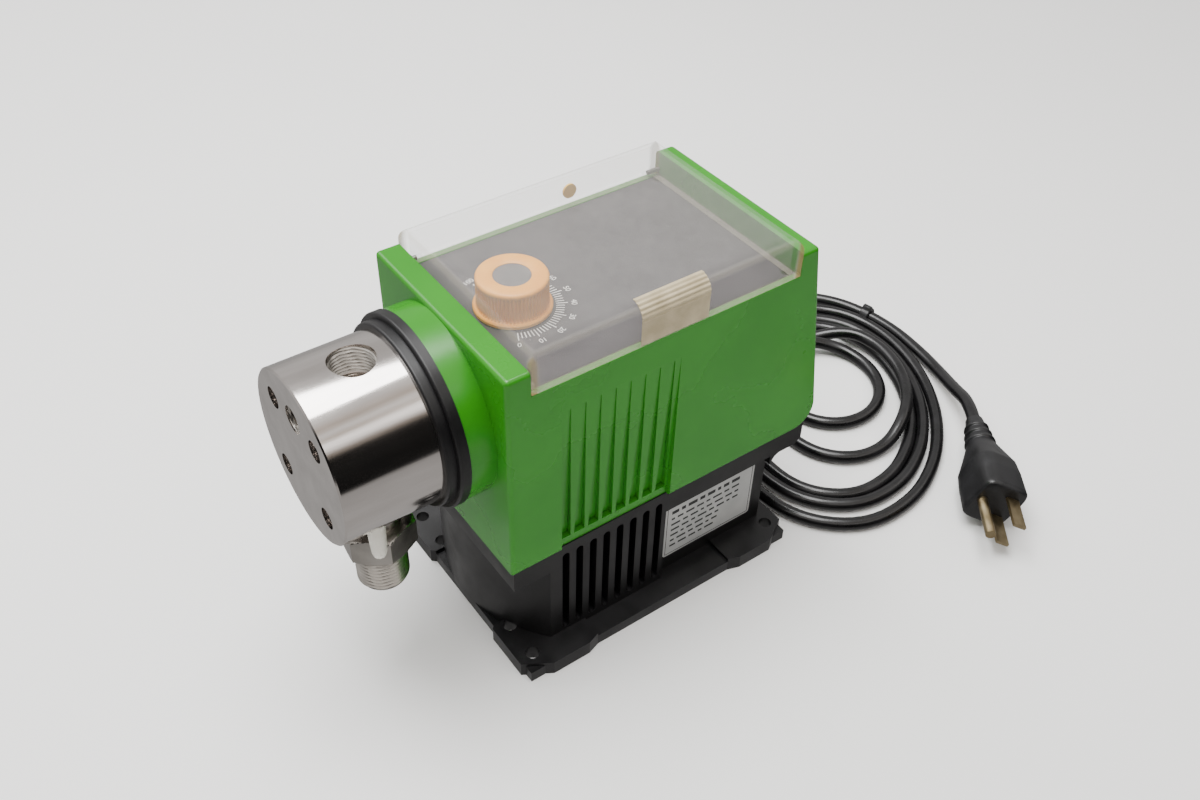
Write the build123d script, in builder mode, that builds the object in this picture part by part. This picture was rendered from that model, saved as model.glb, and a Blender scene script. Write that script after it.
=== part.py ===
"""Motor-driven diaphragm dosing pump: housing, clear lid, gear train, pump head and mains lead.

Frame: origin at the centre of the foot holes on the underside of the foot plate, +Z up,
-Y out of the pump head, +X the side with the rating plate. Millimetres throughout.
"""
from build123d import *
from math import cos, pi, radians, sin, sqrt, tan
import os

os.makedirs("parts", exist_ok=True)

# ---------------------------------------------------------------- driving sizes
BODY_W = 92.0            # width of the green housing
BODY_FRONT = -72.0       # front face of the green housing
BODY_REAR = 70.0         # rear face of the green housing at its top
REAR_RAKE = 16.0         # how far the rear face leans out by the time it reaches the seam
SEAM_Z = 61.0            # seam between the black base and the green housing
PLATE_TOP = 159.5        # top of the front and rear walls that flank the lid
DECK_Z = 149.0           # top of the control panel and of the side walls
WALL = 3.0               # moulded wall
FRONT_RAIL = 10.0        # depth of the front wall's top rail
REAR_RAIL = 8.5          # depth of the rear wall's top rail
REAR_CORNER_R = 11.0     # rounding where the rear face meets the seam
EDGE_R = 1.8             # rounding of the green housing's outer edges
HEAD_Z = 120.0           # height of the pump axis
STROKE = 5.0             # full stroke of the diaphragm

# foot plate
FOOT_OUT = 7.8           # how far the foot plate stands out past the green housing's sides
EAR_OUT = 1.9            # how far the ears stand out past the plate's sides
FOOT_HALF_L = 71.6       # half length across the ears
FOOT_MID_STEP = 1.8      # the plate's ends are set back this much between the ears
EAR_L = 30.0             # length of an ear's outer edge
EAR_TAPER = 5.6          # run of the taper from the ear to the plate
EAR_REACH = 29.1         # length of an ear along the plate's end
EAR_CUT_X = 7.1          # corner cut, across
EAR_CUT_Y = 12.0         # corner cut, along
EAR_H = 7.3              # height of an ear
FOOT_H = 5.6             # height of the plate between the ears
FOOT_HOLE_R = 2.9
FOOT_HOLE_IN = 7.4       # outer foot holes, in from the plate's sides
FOOT_HOLE_STEP = 17.4    # from an outer foot hole to the inner one
FOOT_HOLE_Y = 64.4

# base block
BASE_INSET = 2.0         # how far the louvred block and the rim stand in from the green sides
LABEL_INSET = 3.5        # how far the label wall stands in from the louvred block
LOUVRE_Y0 = -50.0        # front end of the louvred block
LOUVRE_Y1 = 5.0          # rear end of the louvred block
BASE_REAR = 64.5         # rear wall of the base
RIM_Z = 49.0             # underside of the rim that carries the green housing
ARC_REACH = 70.4         # how far the bowed front wall reaches
ARC_SIDE = 53.5          # where the bowed wall meets the side walls
SLOT_COUNT = 8
SLOT_PITCH = 6.7
SLOT_W = 3.4
SLOT_Z0 = 9.0
SLOT_Z1 = 56.0

# fins above the louvre
FIN_TOP = 136.0
FIN_BOTTOM = 65.0
FIN_TAPER = 2.6          # how far the rib faces lean in at the bottom
GROOVE_DEPTH = 5.0       # depth of a groove at its bottom
GROOVE_W = 5.0           # width of a groove at its bottom

# boss, ring and head
BOSS_R = 38.5
BOSS_FRONT = -82.8
BOSS_BORE_R = 13.0
RING_R = 39.0
RING_STEP_R = 36.6
RING_STEP_Y = -87.0
HEAD_REAR = -91.1
HEAD_FRONT = -129.6
HEAD_R = 34.3
PORT_Y = -105.3          # both ports stand on this line
PORT_R = 8.75
CHAMBER_R = 17.0
CHAMBER_DEPTH = 7.0
PASSAGE_R = 3.0
CROSS_R = 2.4            # passages from the valves to the chamber
SCREW_OFF = 16.5         # head screws, from the pump axis both ways
SCREW_R = 2.5
SCREW_HEAD_R = 4.2
SCREW_HEAD_H = 5.0
SCREW_SINK = 8.0         # depth of the counterbores in the head's face
TEST_PORT_R = 5.4        # threaded blind port in the head's face
TEST_PORT_Z = 18.5       # above the pump axis
TEST_PORT_DEPTH = 12.0

# suction fitting
THREAD_R = 10.67
THREAD_L = 20.0
HEX_AF = 27.0
HEX_H = 13.0
NECK_STEP = 1.05         # how far the fitting's neck stands out past the port
FIT_BORE_R = 5.0
HEX_TOP = 74.5

# lid
LID_TOP = 166.9
LID_WALL = 3.0
LID_ROOF = 2.5
LID_GAP = 0.3
LID_EDGE_R = 6.0
LID_BEAD_R = 2.2
LID_PIN_R = 1.0
LID_OPEN_DEG = 95.0

# knob
KNOB_Y = -40.0
KNOB_R = 13.6
KNOB_SKIRT_R = 14.9
KNOB_SKIRT_H = 1.8
KNOB_TOP = 163.6
KNOB_CAP_R = 7.1
DIAL_SHAFT_R = 3.0

# gear train
CAM_Y = 10.0
CAM_R0 = 12.0            # cam radius at the start of the stroke
CAM_W = 8.0
SHAFT_R = 5.0
WHEEL_X = 8.5            # mid plane of the worm wheel, and the motor's axis
WHEEL_W = 6.0
WHEEL_R = 17.7
WHEEL_TEETH = 40
TOOTH_DEPTH = 1.6
WORM_R = 6.0
GEAR_GAP = 0.3
MOTOR_SHAFT_R = 3.5
MOTOR_Y = CAM_Y + WHEEL_R + GEAR_GAP + WORM_R
MOTOR_R = 26.0
MOTOR_Z0 = 8.0
MOTOR_Z1 = 57.0
ROTOR_R = 14.7
ROTOR_BORE_R = 15.0
FRAME_Z0 = 57.0
FRAME_Z1 = 61.0
FRAME_X0 = -14.0         # mid planes of the two bearing cheeks
FRAME_X1 = 19.0
CHEEK_W = 4.0
CHEEK_TOP = 134.0
BRIDGE_TOP = 138.0
BRIDGE_HALF = 6.0        # half depth of the bridge that holds the worm's top end
FRAME_Y0 = -20.0
FRAME_Y1 = 57.0
CHEEK_Y0 = -10.0
CHEEK_Y1 = 48.0
WORM_L = 24.0
WORM_STARTS = 7
MOTOR_SCREW_R = 20.0     # motor screws, from the motor's axis
BUSH_R = 8.0
TAPPET_R = 7.0
TAPPET_NOSE_R = 5.0
RUN = 0.05               # radial running clearance
GAP = 0.3                # gap between parts that pass each other

# mains lead
CORD_R = 3.25
COIL_C = (-1.0, 149.5)
COIL_A = 93.0
COIL_B = 62.0
COIL_HOLE_C = (-12.0, 160.0)
COIL_HOLE_R = 22.0
COIL_TILT = -40.0
COIL_H = 14.0
GLAND_X = -24.0
GLAND_Z = 26.0
GLAND_OUT = 28.0
GLAND_R = 6.0
PLUG_FACE = (107.0, 158.0, 14.0)   # middle of the blade row, on the plug's face
PLUG_LEAN = 67.5         # how steeply the blade row stands
PLUG_RISE = 4.7          # middle of the body's section above the blade row
PLUG_HALF_W = 12.7
PLUG_HALF_H = 11.5
PLUG_CORNER_R = 5.0
PLUG_FULL_L = 22.0
PLUG_BODY_L = 40.0
PLUG_NECK_R = 6.5
PLUG_RELIEF_L = 17.0
BLADE_X = 6.35
BLADE_T = 1.5
BLADE_W = 6.35
BLADE_L = 17.0
GROUND_Y = 11.9
GROUND_R = 2.4
GROUND_L = 21.4

# electrics
BOARD_Z = 137.0
BOARD_T = 1.6
BOARD_Y0 = -56.5
BOARD_Y1 = -13.0
BOARD_HALF_W = 34.0

# valves, fitting seal, nipple
VALVE_R = 6.0
SEAT_R = 3.0
SEAT_H = 3.0
BALL_R = 4.5
BALL_LIFT = 2.0
CAGE_UP = 13.2           # underside of a cage above the foot of its seat
VALVE_H = 15.0           # seat, ball and cage together
VALVE_REACH = 7.5        # how far a valve's own passage runs past it
DISCHARGE_Z = 126.0      # foot of the discharge seat
SUCTION_Z = 94.0         # foot of the suction seat
SPOT_STEP = 1.2
SEAL_T = 1.0
NIPPLE_XY = (18.5, -113.0)
NIPPLE_R = 3.4
NIPPLE_TOP = 97.0
NIPPLE_TIP = 75.5

# diaphragm and tappet
MEMBRANE_R = 20.4
MEMBRANE_T = 2.5
CORE_R = 11.0
CORE_T = 3.5
TAPPET_STEP_Y = -12.0
NOSE_PAD = 2.5
COLLAR_Y = -22.5
COLLAR_R = 16.0
COLLAR_T = 3.5
GUIDE_FLANGE_R = 20.0
GUIDE_FLANGE_T = 5.0
GUIDE_R = 11.0
GUIDE_L = 16.0
SPRING_R = 13.2
SPRING_WIRE_R = 0.9
SPRING_TURNS = 6

# ---------------------------------------------------------------- places that follow
CORE_BACK = HEAD_REAR + MEMBRANE_T + GAP + CORE_T
BODY_X = BODY_W / 2
BASE_X = BODY_X - BASE_INSET
BASE_X_REAR = BASE_X - LABEL_INSET
FOOT_HALF_W = BODY_X + FOOT_OUT
EAR_HALF_W = FOOT_HALF_W + EAR_OUT
EAR_IN_X = EAR_HALF_W - EAR_REACH
FOOT_HOLE_X = FOOT_HALF_W - FOOT_HOLE_IN
FOOT_SLOT_X = FOOT_HOLE_X - FOOT_HOLE_STEP
INNER_X = BODY_X - WALL
INNER_FRONT = BODY_FRONT + 4.0
OPEN_FRONT = BODY_FRONT + FRONT_RAIL
OPEN_REAR = BODY_REAR - REAR_RAIL
PANEL_T = 3.0
CAVITY_TOP = DECK_Z - 2 * PANEL_T
REAR_FOOT = BODY_REAR + REAR_RAKE
FIN_MID_Y = (LOUVRE_Y0 + LOUVRE_Y1) / 2
FIN_HALF = SLOT_COUNT * SLOT_PITCH / 2
PAD_X = BODY_X - GROOVE_DEPTH - 2.0
CONTACT_Y = CAM_Y - CAM_R0 - GAP
HEAD_BOTTOM = HEAD_Z - HEAD_R
PORT_Z = DISCHARGE_Z + VALVE_H
NECK_R = PORT_R + NECK_STEP
SPOT_R = NECK_R + SPOT_STEP
SPOT_Z = HEAD_BOTTOM + 1.6
BASE_IN_X = BASE_X_REAR - WALL
POST_R = 3.5
SMALL_SCREW_R = 1.9
PILLAR_R = 4.0
PILLAR_SCREW_R = 1.7
PILLAR_SCREW_HEAD_R = 3.0
PILLAR_H = 18.0
PILLAR_XY = [(x * (BODY_X - inset), y) for x in (-1, 1) for inset, y in ((7.0, -64.5), (12.0, 72.5))]
PANEL_SCREW_R = 1.25
PANEL_SCREW_HEAD_R = 2.2
PANEL_SCREW_HEAD_H = 1.2
PANEL_SCREW_XY = [(x * (INNER_X - 2.5), y) for x in (-1, 1) for y in (OPEN_FRONT + 2.5, OPEN_REAR - 2.5)]
PIN_X = -BODY_X + LID_BEAD_R
PIN_Z = DECK_Z + LID_GAP + LID_BEAD_R
FRAME_HALF_W = BASE_IN_X - 0.5
POST_XY = [(x * (FRAME_HALF_W - 5), y) for x in (-1, 1) for y in (FRAME_Y0 + 6, FRAME_Y1 - 4)]


def rear_face_y(z):
    """Where the leaning rear face of the green housing stands at height z."""
    return BODY_REAR + REAR_RAKE * (PLATE_TOP - z) / (PLATE_TOP - SEAM_Z)


def slot_places():
    """The Y of each louvre slot and of each groove above it."""
    return [FIN_MID_Y + SLOT_PITCH * (i - (SLOT_COUNT - 1) / 2) for i in range(SLOT_COUNT)]


def corner_radii(points, share=0.45):
    """One radius for each inner point of a route: share of the shorter run over tan(half turn)."""
    radii = []
    for a, b, c in zip(points, points[1:], points[2:]):
        before = Vector(*b) - Vector(*a)
        after = Vector(*c) - Vector(*b)
        half_turn = radians(before.get_angle(after) / 2)
        radii.append(share * min(before.length, after.length) / tan(half_turn))
    return radii


# ---------------------------------------------------------------- black base
foot_outline = [
    (EAR_IN_X, -FOOT_HALF_L), (EAR_HALF_W - EAR_CUT_X, -FOOT_HALF_L),
    (EAR_HALF_W, -FOOT_HALF_L + EAR_CUT_Y), (EAR_HALF_W, -FOOT_HALF_L + EAR_L),
    (FOOT_HALF_W, -FOOT_HALF_L + EAR_L + EAR_TAPER),
    (EAR_IN_X - FOOT_MID_STEP, -FOOT_HALF_L + EAR_L + EAR_TAPER),
    (EAR_IN_X - FOOT_MID_STEP, -FOOT_HALF_L + FOOT_MID_STEP)]

with BuildPart() as base_housing:
    # foot plate with four ears
    with BuildSketch() as foot_plate:
        Rectangle(2 * FOOT_HALF_W, 2 * (FOOT_HALF_L - FOOT_MID_STEP))
    extrude(amount=FOOT_H)
    with BuildSketch() as ears:
        with BuildLine():
            Polyline(*foot_outline, close=True)
        make_face()
        mirror(about=Plane.YZ)
        mirror(about=Plane.XZ)
    extrude(amount=EAR_H)
    # louvred block with its bowed front, the label wall and the rim
    with BuildSketch(Plane.XY.offset(FOOT_H / 2)):
        with BuildLine():
            ThreePointArc((-BASE_X, -ARC_SIDE), (0, -ARC_REACH), (BASE_X, -ARC_SIDE))
            Polyline((BASE_X, -ARC_SIDE), (BASE_X, LOUVRE_Y1), (BASE_X_REAR, LOUVRE_Y1),
                     (BASE_X_REAR, BASE_REAR), (-BASE_X_REAR, BASE_REAR), (-BASE_X_REAR, LOUVRE_Y1),
                     (-BASE_X, LOUVRE_Y1), (-BASE_X, -ARC_SIDE))
        make_face()
    extrude(amount=SEAM_Z - FOOT_H / 2)
    with BuildSketch(Plane.YZ.offset(-BASE_X)):
        with BuildLine():
            rim_foot = rear_face_y(SEAM_Z) - 5.0
            Polyline((BODY_FRONT + 1.5, SEAM_Z), (BODY_FRONT + 1.5, RIM_Z), (BASE_REAR - 1, RIM_Z),
                     (BASE_REAR - 1, RIM_Z - 5), (BASE_REAR, RIM_Z - 5))
            RadiusArc((BASE_REAR, RIM_Z - 5), (BASE_REAR + 5, RIM_Z), 5)
            Polyline((BASE_REAR + 5, RIM_Z), (rim_foot - 3, RIM_Z), (rim_foot, RIM_Z + 3),
                     (rim_foot, SEAM_Z), (BODY_FRONT + 1.5, SEAM_Z))
        make_face()
    extrude(amount=2 * BASE_X)
    # hollow, with a floor
    with BuildSketch(Plane.XY.offset(WALL + 1)):
        with BuildLine():
            ThreePointArc((-BASE_IN_X, -ARC_SIDE + WALL), (0, -ARC_REACH + WALL + 3),
                          (BASE_IN_X, -ARC_SIDE + WALL))
            Polyline((BASE_IN_X, -ARC_SIDE + WALL), (BASE_IN_X, BASE_REAR - WALL),
                     (-BASE_IN_X, BASE_REAR - WALL), (-BASE_IN_X, -ARC_SIDE + WALL))
        make_face()
    extrude(amount=SEAM_Z, mode=Mode.SUBTRACT)
    # posts for the gear frame
    with BuildSketch(Plane.XY.offset(WALL)):
        with Locations(*POST_XY):
            Circle(POST_R)
    extrude(amount=FRAME_Z0 - WALL)
    with BuildSketch(Plane.XY.offset(FRAME_Z0)):
        with Locations(*POST_XY):
            Circle(SMALL_SCREW_R)
    extrude(amount=-10, mode=Mode.SUBTRACT)
    # louvre slots through both side walls
    for side in (-1, 1):
        with BuildSketch(Plane.YZ.offset(side * (BASE_IN_X - 1))):
            with Locations(*[(y, (SLOT_Z0 + SLOT_Z1) / 2) for y in slot_places()]):
                SlotOverall(SLOT_Z1 - SLOT_Z0, SLOT_W, rotation=90)
        extrude(amount=side * 12, mode=Mode.SUBTRACT)
    # foot holes, cord hole and the screws' holes in the posts
    with BuildSketch():
        with GridLocations(2 * FOOT_HOLE_X, 2 * FOOT_HOLE_Y, 2, 2):
            Circle(FOOT_HOLE_R)
        with GridLocations(2 * FOOT_SLOT_X, 2 * FOOT_HOLE_Y, 2, 2):
            Circle(FOOT_HOLE_R)
    extrude(amount=EAR_H + 1, mode=Mode.SUBTRACT)
    with BuildSketch(Plane.XZ.offset(-BASE_REAR - 10)):
        with Locations((GLAND_X, GLAND_Z)):
            Circle(GLAND_R)
    extrude(amount=20, mode=Mode.SUBTRACT)
    with BuildSketch(Plane.XY.offset(RIM_Z)):
        with Locations(*PILLAR_XY):
            Circle(PILLAR_SCREW_R)
    extrude(amount=SEAM_Z, mode=Mode.SUBTRACT)
base_housing.part.label = "base_housing"
export_step(base_housing.part, "parts/base_housing.step")

# ---------------------------------------------------------------- green housing
with BuildPart() as upper_housing:
    with BuildSketch(Plane.YZ.offset(-BODY_X)) as side_view:
        with BuildLine():
            Polyline((BODY_FRONT, SEAM_Z), (REAR_FOOT, SEAM_Z), (BODY_REAR, PLATE_TOP),
                     (BODY_FRONT, PLATE_TOP), close=True)
        make_face()
        fillet(side_view.vertices().sort_by(Axis.X)[-1], REAR_CORNER_R)
    extrude(amount=BODY_W)
    above_seam = [edge for edge in upper_housing.edges() if edge.center().Z > SEAM_Z + 0.1]
    fillet(above_seam, EDGE_R)
    # open space for the lid, across the full width
    with BuildSketch(Plane.YZ.offset(-BODY_X)):
        with Locations(((OPEN_FRONT + OPEN_REAR) / 2, (DECK_Z + PLATE_TOP) / 2 + 5)):
            Rectangle(OPEN_REAR - OPEN_FRONT, PLATE_TOP - DECK_Z + 10)
    extrude(amount=BODY_W, mode=Mode.SUBTRACT)
    # main cavity, panel opening and panel recess
    with BuildSketch(Plane.YZ.offset(-INNER_X)):
        with BuildLine():
            Polyline((INNER_FRONT, SEAM_Z), (rear_face_y(SEAM_Z) - 14, SEAM_Z),
                     (rear_face_y(SEAM_Z + 12) - 4, SEAM_Z + 12),
                     (rear_face_y(CAVITY_TOP) - 4, CAVITY_TOP), (INNER_FRONT, CAVITY_TOP), close=True)
        make_face()
    extrude(amount=2 * INNER_X, mode=Mode.SUBTRACT)
    with BuildSketch(Plane.XY.offset(CAVITY_TOP)):
        with Locations((0, (OPEN_FRONT + OPEN_REAR) / 2)):
            Rectangle(2 * INNER_X - 8, OPEN_REAR - OPEN_FRONT - 8)
    extrude(amount=PANEL_T, mode=Mode.SUBTRACT)
    with BuildSketch(Plane.XY.offset(CAVITY_TOP + PANEL_T)):
        with Locations((0, (OPEN_FRONT + OPEN_REAR) / 2)):
            Rectangle(2 * INNER_X, OPEN_REAR - OPEN_FRONT)
    extrude(amount=PANEL_T + 1, mode=Mode.SUBTRACT)
    # thicker walls behind the fins, then the leaning rib faces and the grooves
    for side in (-1, 1):
        with BuildSketch(Plane.YZ.offset(side * PAD_X)):
            with Locations((FIN_MID_Y, (SEAM_Z + FIN_TOP) / 2)):
                Rectangle(2 * FIN_HALF + 6, FIN_TOP - SEAM_Z)
        extrude(amount=side * (INNER_X + 0.5 - PAD_X))
        with BuildSketch(Plane.XZ.offset(-FIN_MID_Y - FIN_HALF)):
            with BuildLine():
                Polyline((side * BODY_X, FIN_TOP), (side * (BODY_X - FIN_TAPER), FIN_BOTTOM),
                         (side * (BODY_X - FIN_TAPER), SEAM_Z - 1), (side * (BODY_X + 2), SEAM_Z - 1),
                         (side * (BODY_X + 2), FIN_TOP), close=True)
            make_face()
        extrude(amount=2 * FIN_HALF, mode=Mode.SUBTRACT)
        for groove_y in slot_places():
            with BuildSketch(Plane.XY.offset(FIN_BOTTOM)):
                with Locations((side * BODY_X, groove_y)):
                    Rectangle(2 * GROOVE_DEPTH, GROOVE_W)
            with BuildSketch(Plane.XY.offset(FIN_TOP - 1)):
                with Locations((side * BODY_X, groove_y)):
                    Rectangle(0.6, 0.8)
            loft(mode=Mode.SUBTRACT)
    # pillars for the housing screws
    with BuildSketch(Plane.XY.offset(SEAM_Z)):
        with Locations(*PILLAR_XY):
            Circle(PILLAR_R)
    extrude(amount=PILLAR_H)
    with BuildSketch(Plane.XY.offset(SEAM_Z)):
        with Locations(*PILLAR_XY):
            Circle(PILLAR_SCREW_R)
    extrude(amount=PILLAR_H - 3, mode=Mode.SUBTRACT)
    # round boss for the pump head, its bore and the head screws' holes
    with BuildSketch(Plane.XZ.offset(-BODY_FRONT)):
        with Locations((0, HEAD_Z)):
            Circle(BOSS_R)
    extrude(amount=BODY_FRONT - BOSS_FRONT)
    with BuildSketch(Plane.XZ.offset(-BOSS_FRONT)):
        with Locations((0, HEAD_Z)):
            Circle(BOSS_BORE_R)
            with GridLocations(2 * SCREW_OFF, 2 * SCREW_OFF, 2, 2):
                Circle(SCREW_R)
    extrude(amount=-(INNER_FRONT - BOSS_FRONT) - 1, mode=Mode.SUBTRACT)
    # holes for the panel screws and for the lid's hinge pins
    with BuildSketch(Plane.XY.offset(CAVITY_TOP)):
        with Locations(*PANEL_SCREW_XY):
            Circle(PANEL_SCREW_R)
    extrude(amount=PANEL_T, mode=Mode.SUBTRACT)
    with BuildSketch(Plane.XZ.offset(-OPEN_FRONT)):
        with Locations((PIN_X, PIN_Z)):
            Circle(LID_PIN_R)
    extrude(amount=4, mode=Mode.SUBTRACT)
    with BuildSketch(Plane.XZ.offset(-OPEN_REAR)):
        with Locations((PIN_X, PIN_Z)):
            Circle(LID_PIN_R)
    extrude(amount=-4, mode=Mode.SUBTRACT)
upper_housing.part.label = "upper_housing"
export_step(upper_housing.part, "parts/upper_housing.step")

# ---------------------------------------------------------------- control panel and electrics
with BuildPart() as control_panel:
    with BuildSketch(Plane.XY.offset(DECK_Z - PANEL_T)):
        with Locations((0, (OPEN_FRONT + OPEN_REAR) / 2)):
            Rectangle(2 * INNER_X - 0.4, OPEN_REAR - OPEN_FRONT - 0.4)
        with Locations((0, KNOB_Y)):
            Circle(DIAL_SHAFT_R + 0.5, mode=Mode.SUBTRACT)
        with Locations(*PANEL_SCREW_XY):
            Circle(PANEL_SCREW_R, mode=Mode.SUBTRACT)
    extrude(amount=PANEL_T)
    with BuildSketch(Plane.XY.offset(DECK_Z)):
        with Locations(*PANEL_SCREW_XY):
            Circle(PANEL_SCREW_HEAD_R)
    extrude(amount=-PANEL_SCREW_HEAD_H, mode=Mode.SUBTRACT)
control_panel.part.label = "control_panel"
export_step(control_panel.part, "parts/control_panel.step")

with BuildPart() as panel_screws:
    with BuildSketch(Plane.XY.offset(DECK_Z)):
        with Locations(*PANEL_SCREW_XY):
            Circle(PANEL_SCREW_HEAD_R)
    extrude(amount=-PANEL_SCREW_HEAD_H)
    with BuildSketch(Plane.XY.offset(DECK_Z - PANEL_SCREW_HEAD_H)):
        with Locations(*PANEL_SCREW_XY):
            Circle(PANEL_SCREW_R)
    extrude(amount=-(DECK_Z - PANEL_SCREW_HEAD_H - CAVITY_TOP))
panel_screws.part.label = "panel_screws"
export_step(panel_screws.part, "parts/panel_screws.step")

with BuildPart() as housing_screws:
    with BuildSketch(Plane.XY.offset(RIM_Z)):
        with Locations(*PILLAR_XY):
            Circle(PILLAR_SCREW_HEAD_R)
    extrude(amount=-2)
    with BuildSketch(Plane.XY.offset(RIM_Z)):
        with Locations(*PILLAR_XY):
            Circle(PILLAR_SCREW_R)
    extrude(amount=SEAM_Z + PILLAR_H - 6 - RIM_Z)
housing_screws.part.label = "housing_screws"
export_step(housing_screws.part, "parts/housing_screws.step")

with BuildPart() as circuit_board:
    with BuildSketch(Plane.XY.offset(BOARD_Z)):
        with Locations((0, (BOARD_Y0 + BOARD_Y1) / 2)):
            Rectangle(2 * BOARD_HALF_W, BOARD_Y1 - BOARD_Y0)
    extrude(amount=BOARD_T)
circuit_board.part.label = "circuit_board"
export_step(circuit_board.part, "parts/circuit_board.step")

with BuildPart() as board_spacers:
    with BuildSketch(Plane.XY.offset(BOARD_Z + BOARD_T)):
        with Locations((0, (BOARD_Y0 + BOARD_Y1) / 2)):
            with GridLocations(2 * BOARD_HALF_W - 8, BOARD_Y1 - BOARD_Y0 - 8, 2, 2):
                Circle(3)
                Circle(1.3, mode=Mode.SUBTRACT)
    extrude(amount=DECK_Z - PANEL_T - BOARD_Z - BOARD_T)
board_spacers.part.label = "board_spacers"
export_step(board_spacers.part, "parts/board_spacers.step")

with BuildPart() as board_components:
    with BuildSketch(Plane.XY.offset(BOARD_Z + BOARD_T)):
        with Locations((-20, KNOB_Y + 4), (-20, KNOB_Y + 15)):
            Circle(4)
        with Locations((21, KNOB_Y + 6)):
            Rectangle(12, 15)
    extrude(amount=6)
board_components.part.label = "board_components"
export_step(board_components.part, "parts/board_components.step")

with BuildPart() as speed_control:
    with BuildSketch(Plane.XY.offset(BOARD_Z + BOARD_T)):
        with Locations((0, KNOB_Y)):
            Circle(8)
    extrude(amount=DECK_Z - PANEL_T - BOARD_Z - BOARD_T)
    with BuildSketch(Plane.XY.offset(BOARD_Z + BOARD_T + 1)):
        with Locations((0, KNOB_Y)):
            Circle(DIAL_SHAFT_R + RUN)
    extrude(amount=10, mode=Mode.SUBTRACT)
speed_control.part.label = "speed_control"
export_step(speed_control.part, "parts/speed_control.step")

with BuildPart() as dial_shaft:
    with BuildSketch(Plane.XY.offset(BOARD_Z + BOARD_T + 1.2)):
        with Locations((0, KNOB_Y)):
            Circle(DIAL_SHAFT_R)
    extrude(amount=KNOB_TOP - 4 - BOARD_Z - BOARD_T - 1.2)
dial_shaft.part.label = "dial_shaft"
export_step(dial_shaft.part, "parts/dial_shaft.step")

with BuildPart() as dial_knob:
    with BuildSketch(Plane.XY.offset(DECK_Z + GAP)):
        with Locations((0, KNOB_Y)):
            Circle(KNOB_SKIRT_R)
    extrude(amount=KNOB_SKIRT_H)
    with BuildSketch(Plane.XY.offset(DECK_Z + GAP)):
        with Locations((0, KNOB_Y)):
            Circle(KNOB_R)
    extrude(amount=KNOB_TOP - DECK_Z - GAP)
    fillet(dial_knob.edges().group_by(Axis.Z)[-1], 0.8)
    with BuildSketch(Plane.XY.offset(KNOB_TOP)):
        with Locations((0, KNOB_Y)):
            Circle(KNOB_CAP_R)
    extrude(amount=-1.6, mode=Mode.SUBTRACT)
    with BuildSketch(Plane.XY.offset(DECK_Z + GAP)):
        with Locations((0, KNOB_Y)):
            Circle(DIAL_SHAFT_R)
    extrude(amount=KNOB_TOP - 4 - DECK_Z - GAP, mode=Mode.SUBTRACT)
dial_knob.part.label = "dial_knob"
export_step(dial_knob.part, "parts/dial_knob.step")

with BuildPart() as knob_cap:
    with BuildSketch(Plane.XY.offset(KNOB_TOP - 1.6)):
        with Locations((0, KNOB_Y)):
            Circle(KNOB_CAP_R)
    extrude(amount=1.2)
knob_cap.part.label = "knob_cap"
export_step(knob_cap.part, "parts/knob_cap.step")

with BuildPart() as capacitor:
    with BuildSketch(Plane.XY.offset(WALL + 1)):
        with Locations((8, -36)):
            Circle(14)
    extrude(amount=44)
    fillet(capacitor.edges().group_by(Axis.Z)[-1], 2)
capacitor.part.label = "capacitor"
export_step(capacitor.part, "parts/capacitor.step")

with BuildPart() as terminal_block:
    with BuildSketch(Plane.XY.offset(WALL + 1)):
        with Locations((-28, 26)):
            Rectangle(14, 30)
    extrude(amount=16)
    with BuildSketch(Plane.XY.offset(WALL + 17)):
        with Locations((-28, 26)):
            with GridLocations(0, 9, 1, 3):
                Circle(2.4)
    extrude(amount=-5, mode=Mode.SUBTRACT)
terminal_block.part.label = "terminal_block"
export_step(terminal_block.part, "parts/terminal_block.step")

with BuildPart() as rating_plate:
    with BuildSketch(Plane.YZ.offset(BASE_X_REAR)):
        with Locations(((LOUVRE_Y1 + BASE_REAR) / 2 - 2, (FOOT_H + RIM_Z) / 2 + 3.5)):
            RectangleRounded(50, 33, 1.5)
    extrude(amount=0.5)
rating_plate.part.label = "rating_plate"
export_step(rating_plate.part, "parts/rating_plate.step")

# ---------------------------------------------------------------- lid
with BuildPart() as clear_cover:
    lid_y0 = OPEN_FRONT + LID_GAP
    lid_y1 = OPEN_REAR - LID_GAP
    with BuildSketch(Plane.XY.offset(DECK_Z + LID_GAP)):
        with Locations((0, (lid_y0 + lid_y1) / 2)):
            Rectangle(BODY_W, lid_y1 - lid_y0)
    extrude(amount=LID_TOP - DECK_Z - LID_GAP)
    fillet(clear_cover.edges().group_by(Axis.Z)[-1], LID_EDGE_R)
    hinge_edge = clear_cover.edges().group_by(Axis.Z)[0].filter_by(Axis.Y).sort_by(Axis.X)[0]
    fillet(hinge_edge, LID_BEAD_R)
    with BuildSketch(Plane.XY.offset(DECK_Z + LID_GAP)):
        with Locations((0, (lid_y0 + lid_y1) / 2)):
            Rectangle(BODY_W - 2 * LID_WALL, lid_y1 - lid_y0 - 2 * LID_WALL)
    extrude(amount=LID_TOP - LID_ROOF - DECK_Z - LID_GAP, mode=Mode.SUBTRACT)
    # hinge bead with its pin holes
    with BuildSketch(Plane.XZ.offset(-lid_y0)):
        with Locations((PIN_X, PIN_Z)):
            Circle(LID_BEAD_R)
    extrude(amount=-(lid_y1 - lid_y0))
    for end_y, way in ((lid_y0, -1), (lid_y1, 1)):
        with BuildSketch(Plane.XZ.offset(-end_y)):
            with Locations((PIN_X, PIN_Z)):
                Circle(LID_PIN_R + RUN)
        extrude(amount=way * 8, mode=Mode.SUBTRACT)
clear_cover.part.label = "clear_cover"
export_step(clear_cover.part, "parts/clear_cover.step")

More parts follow.
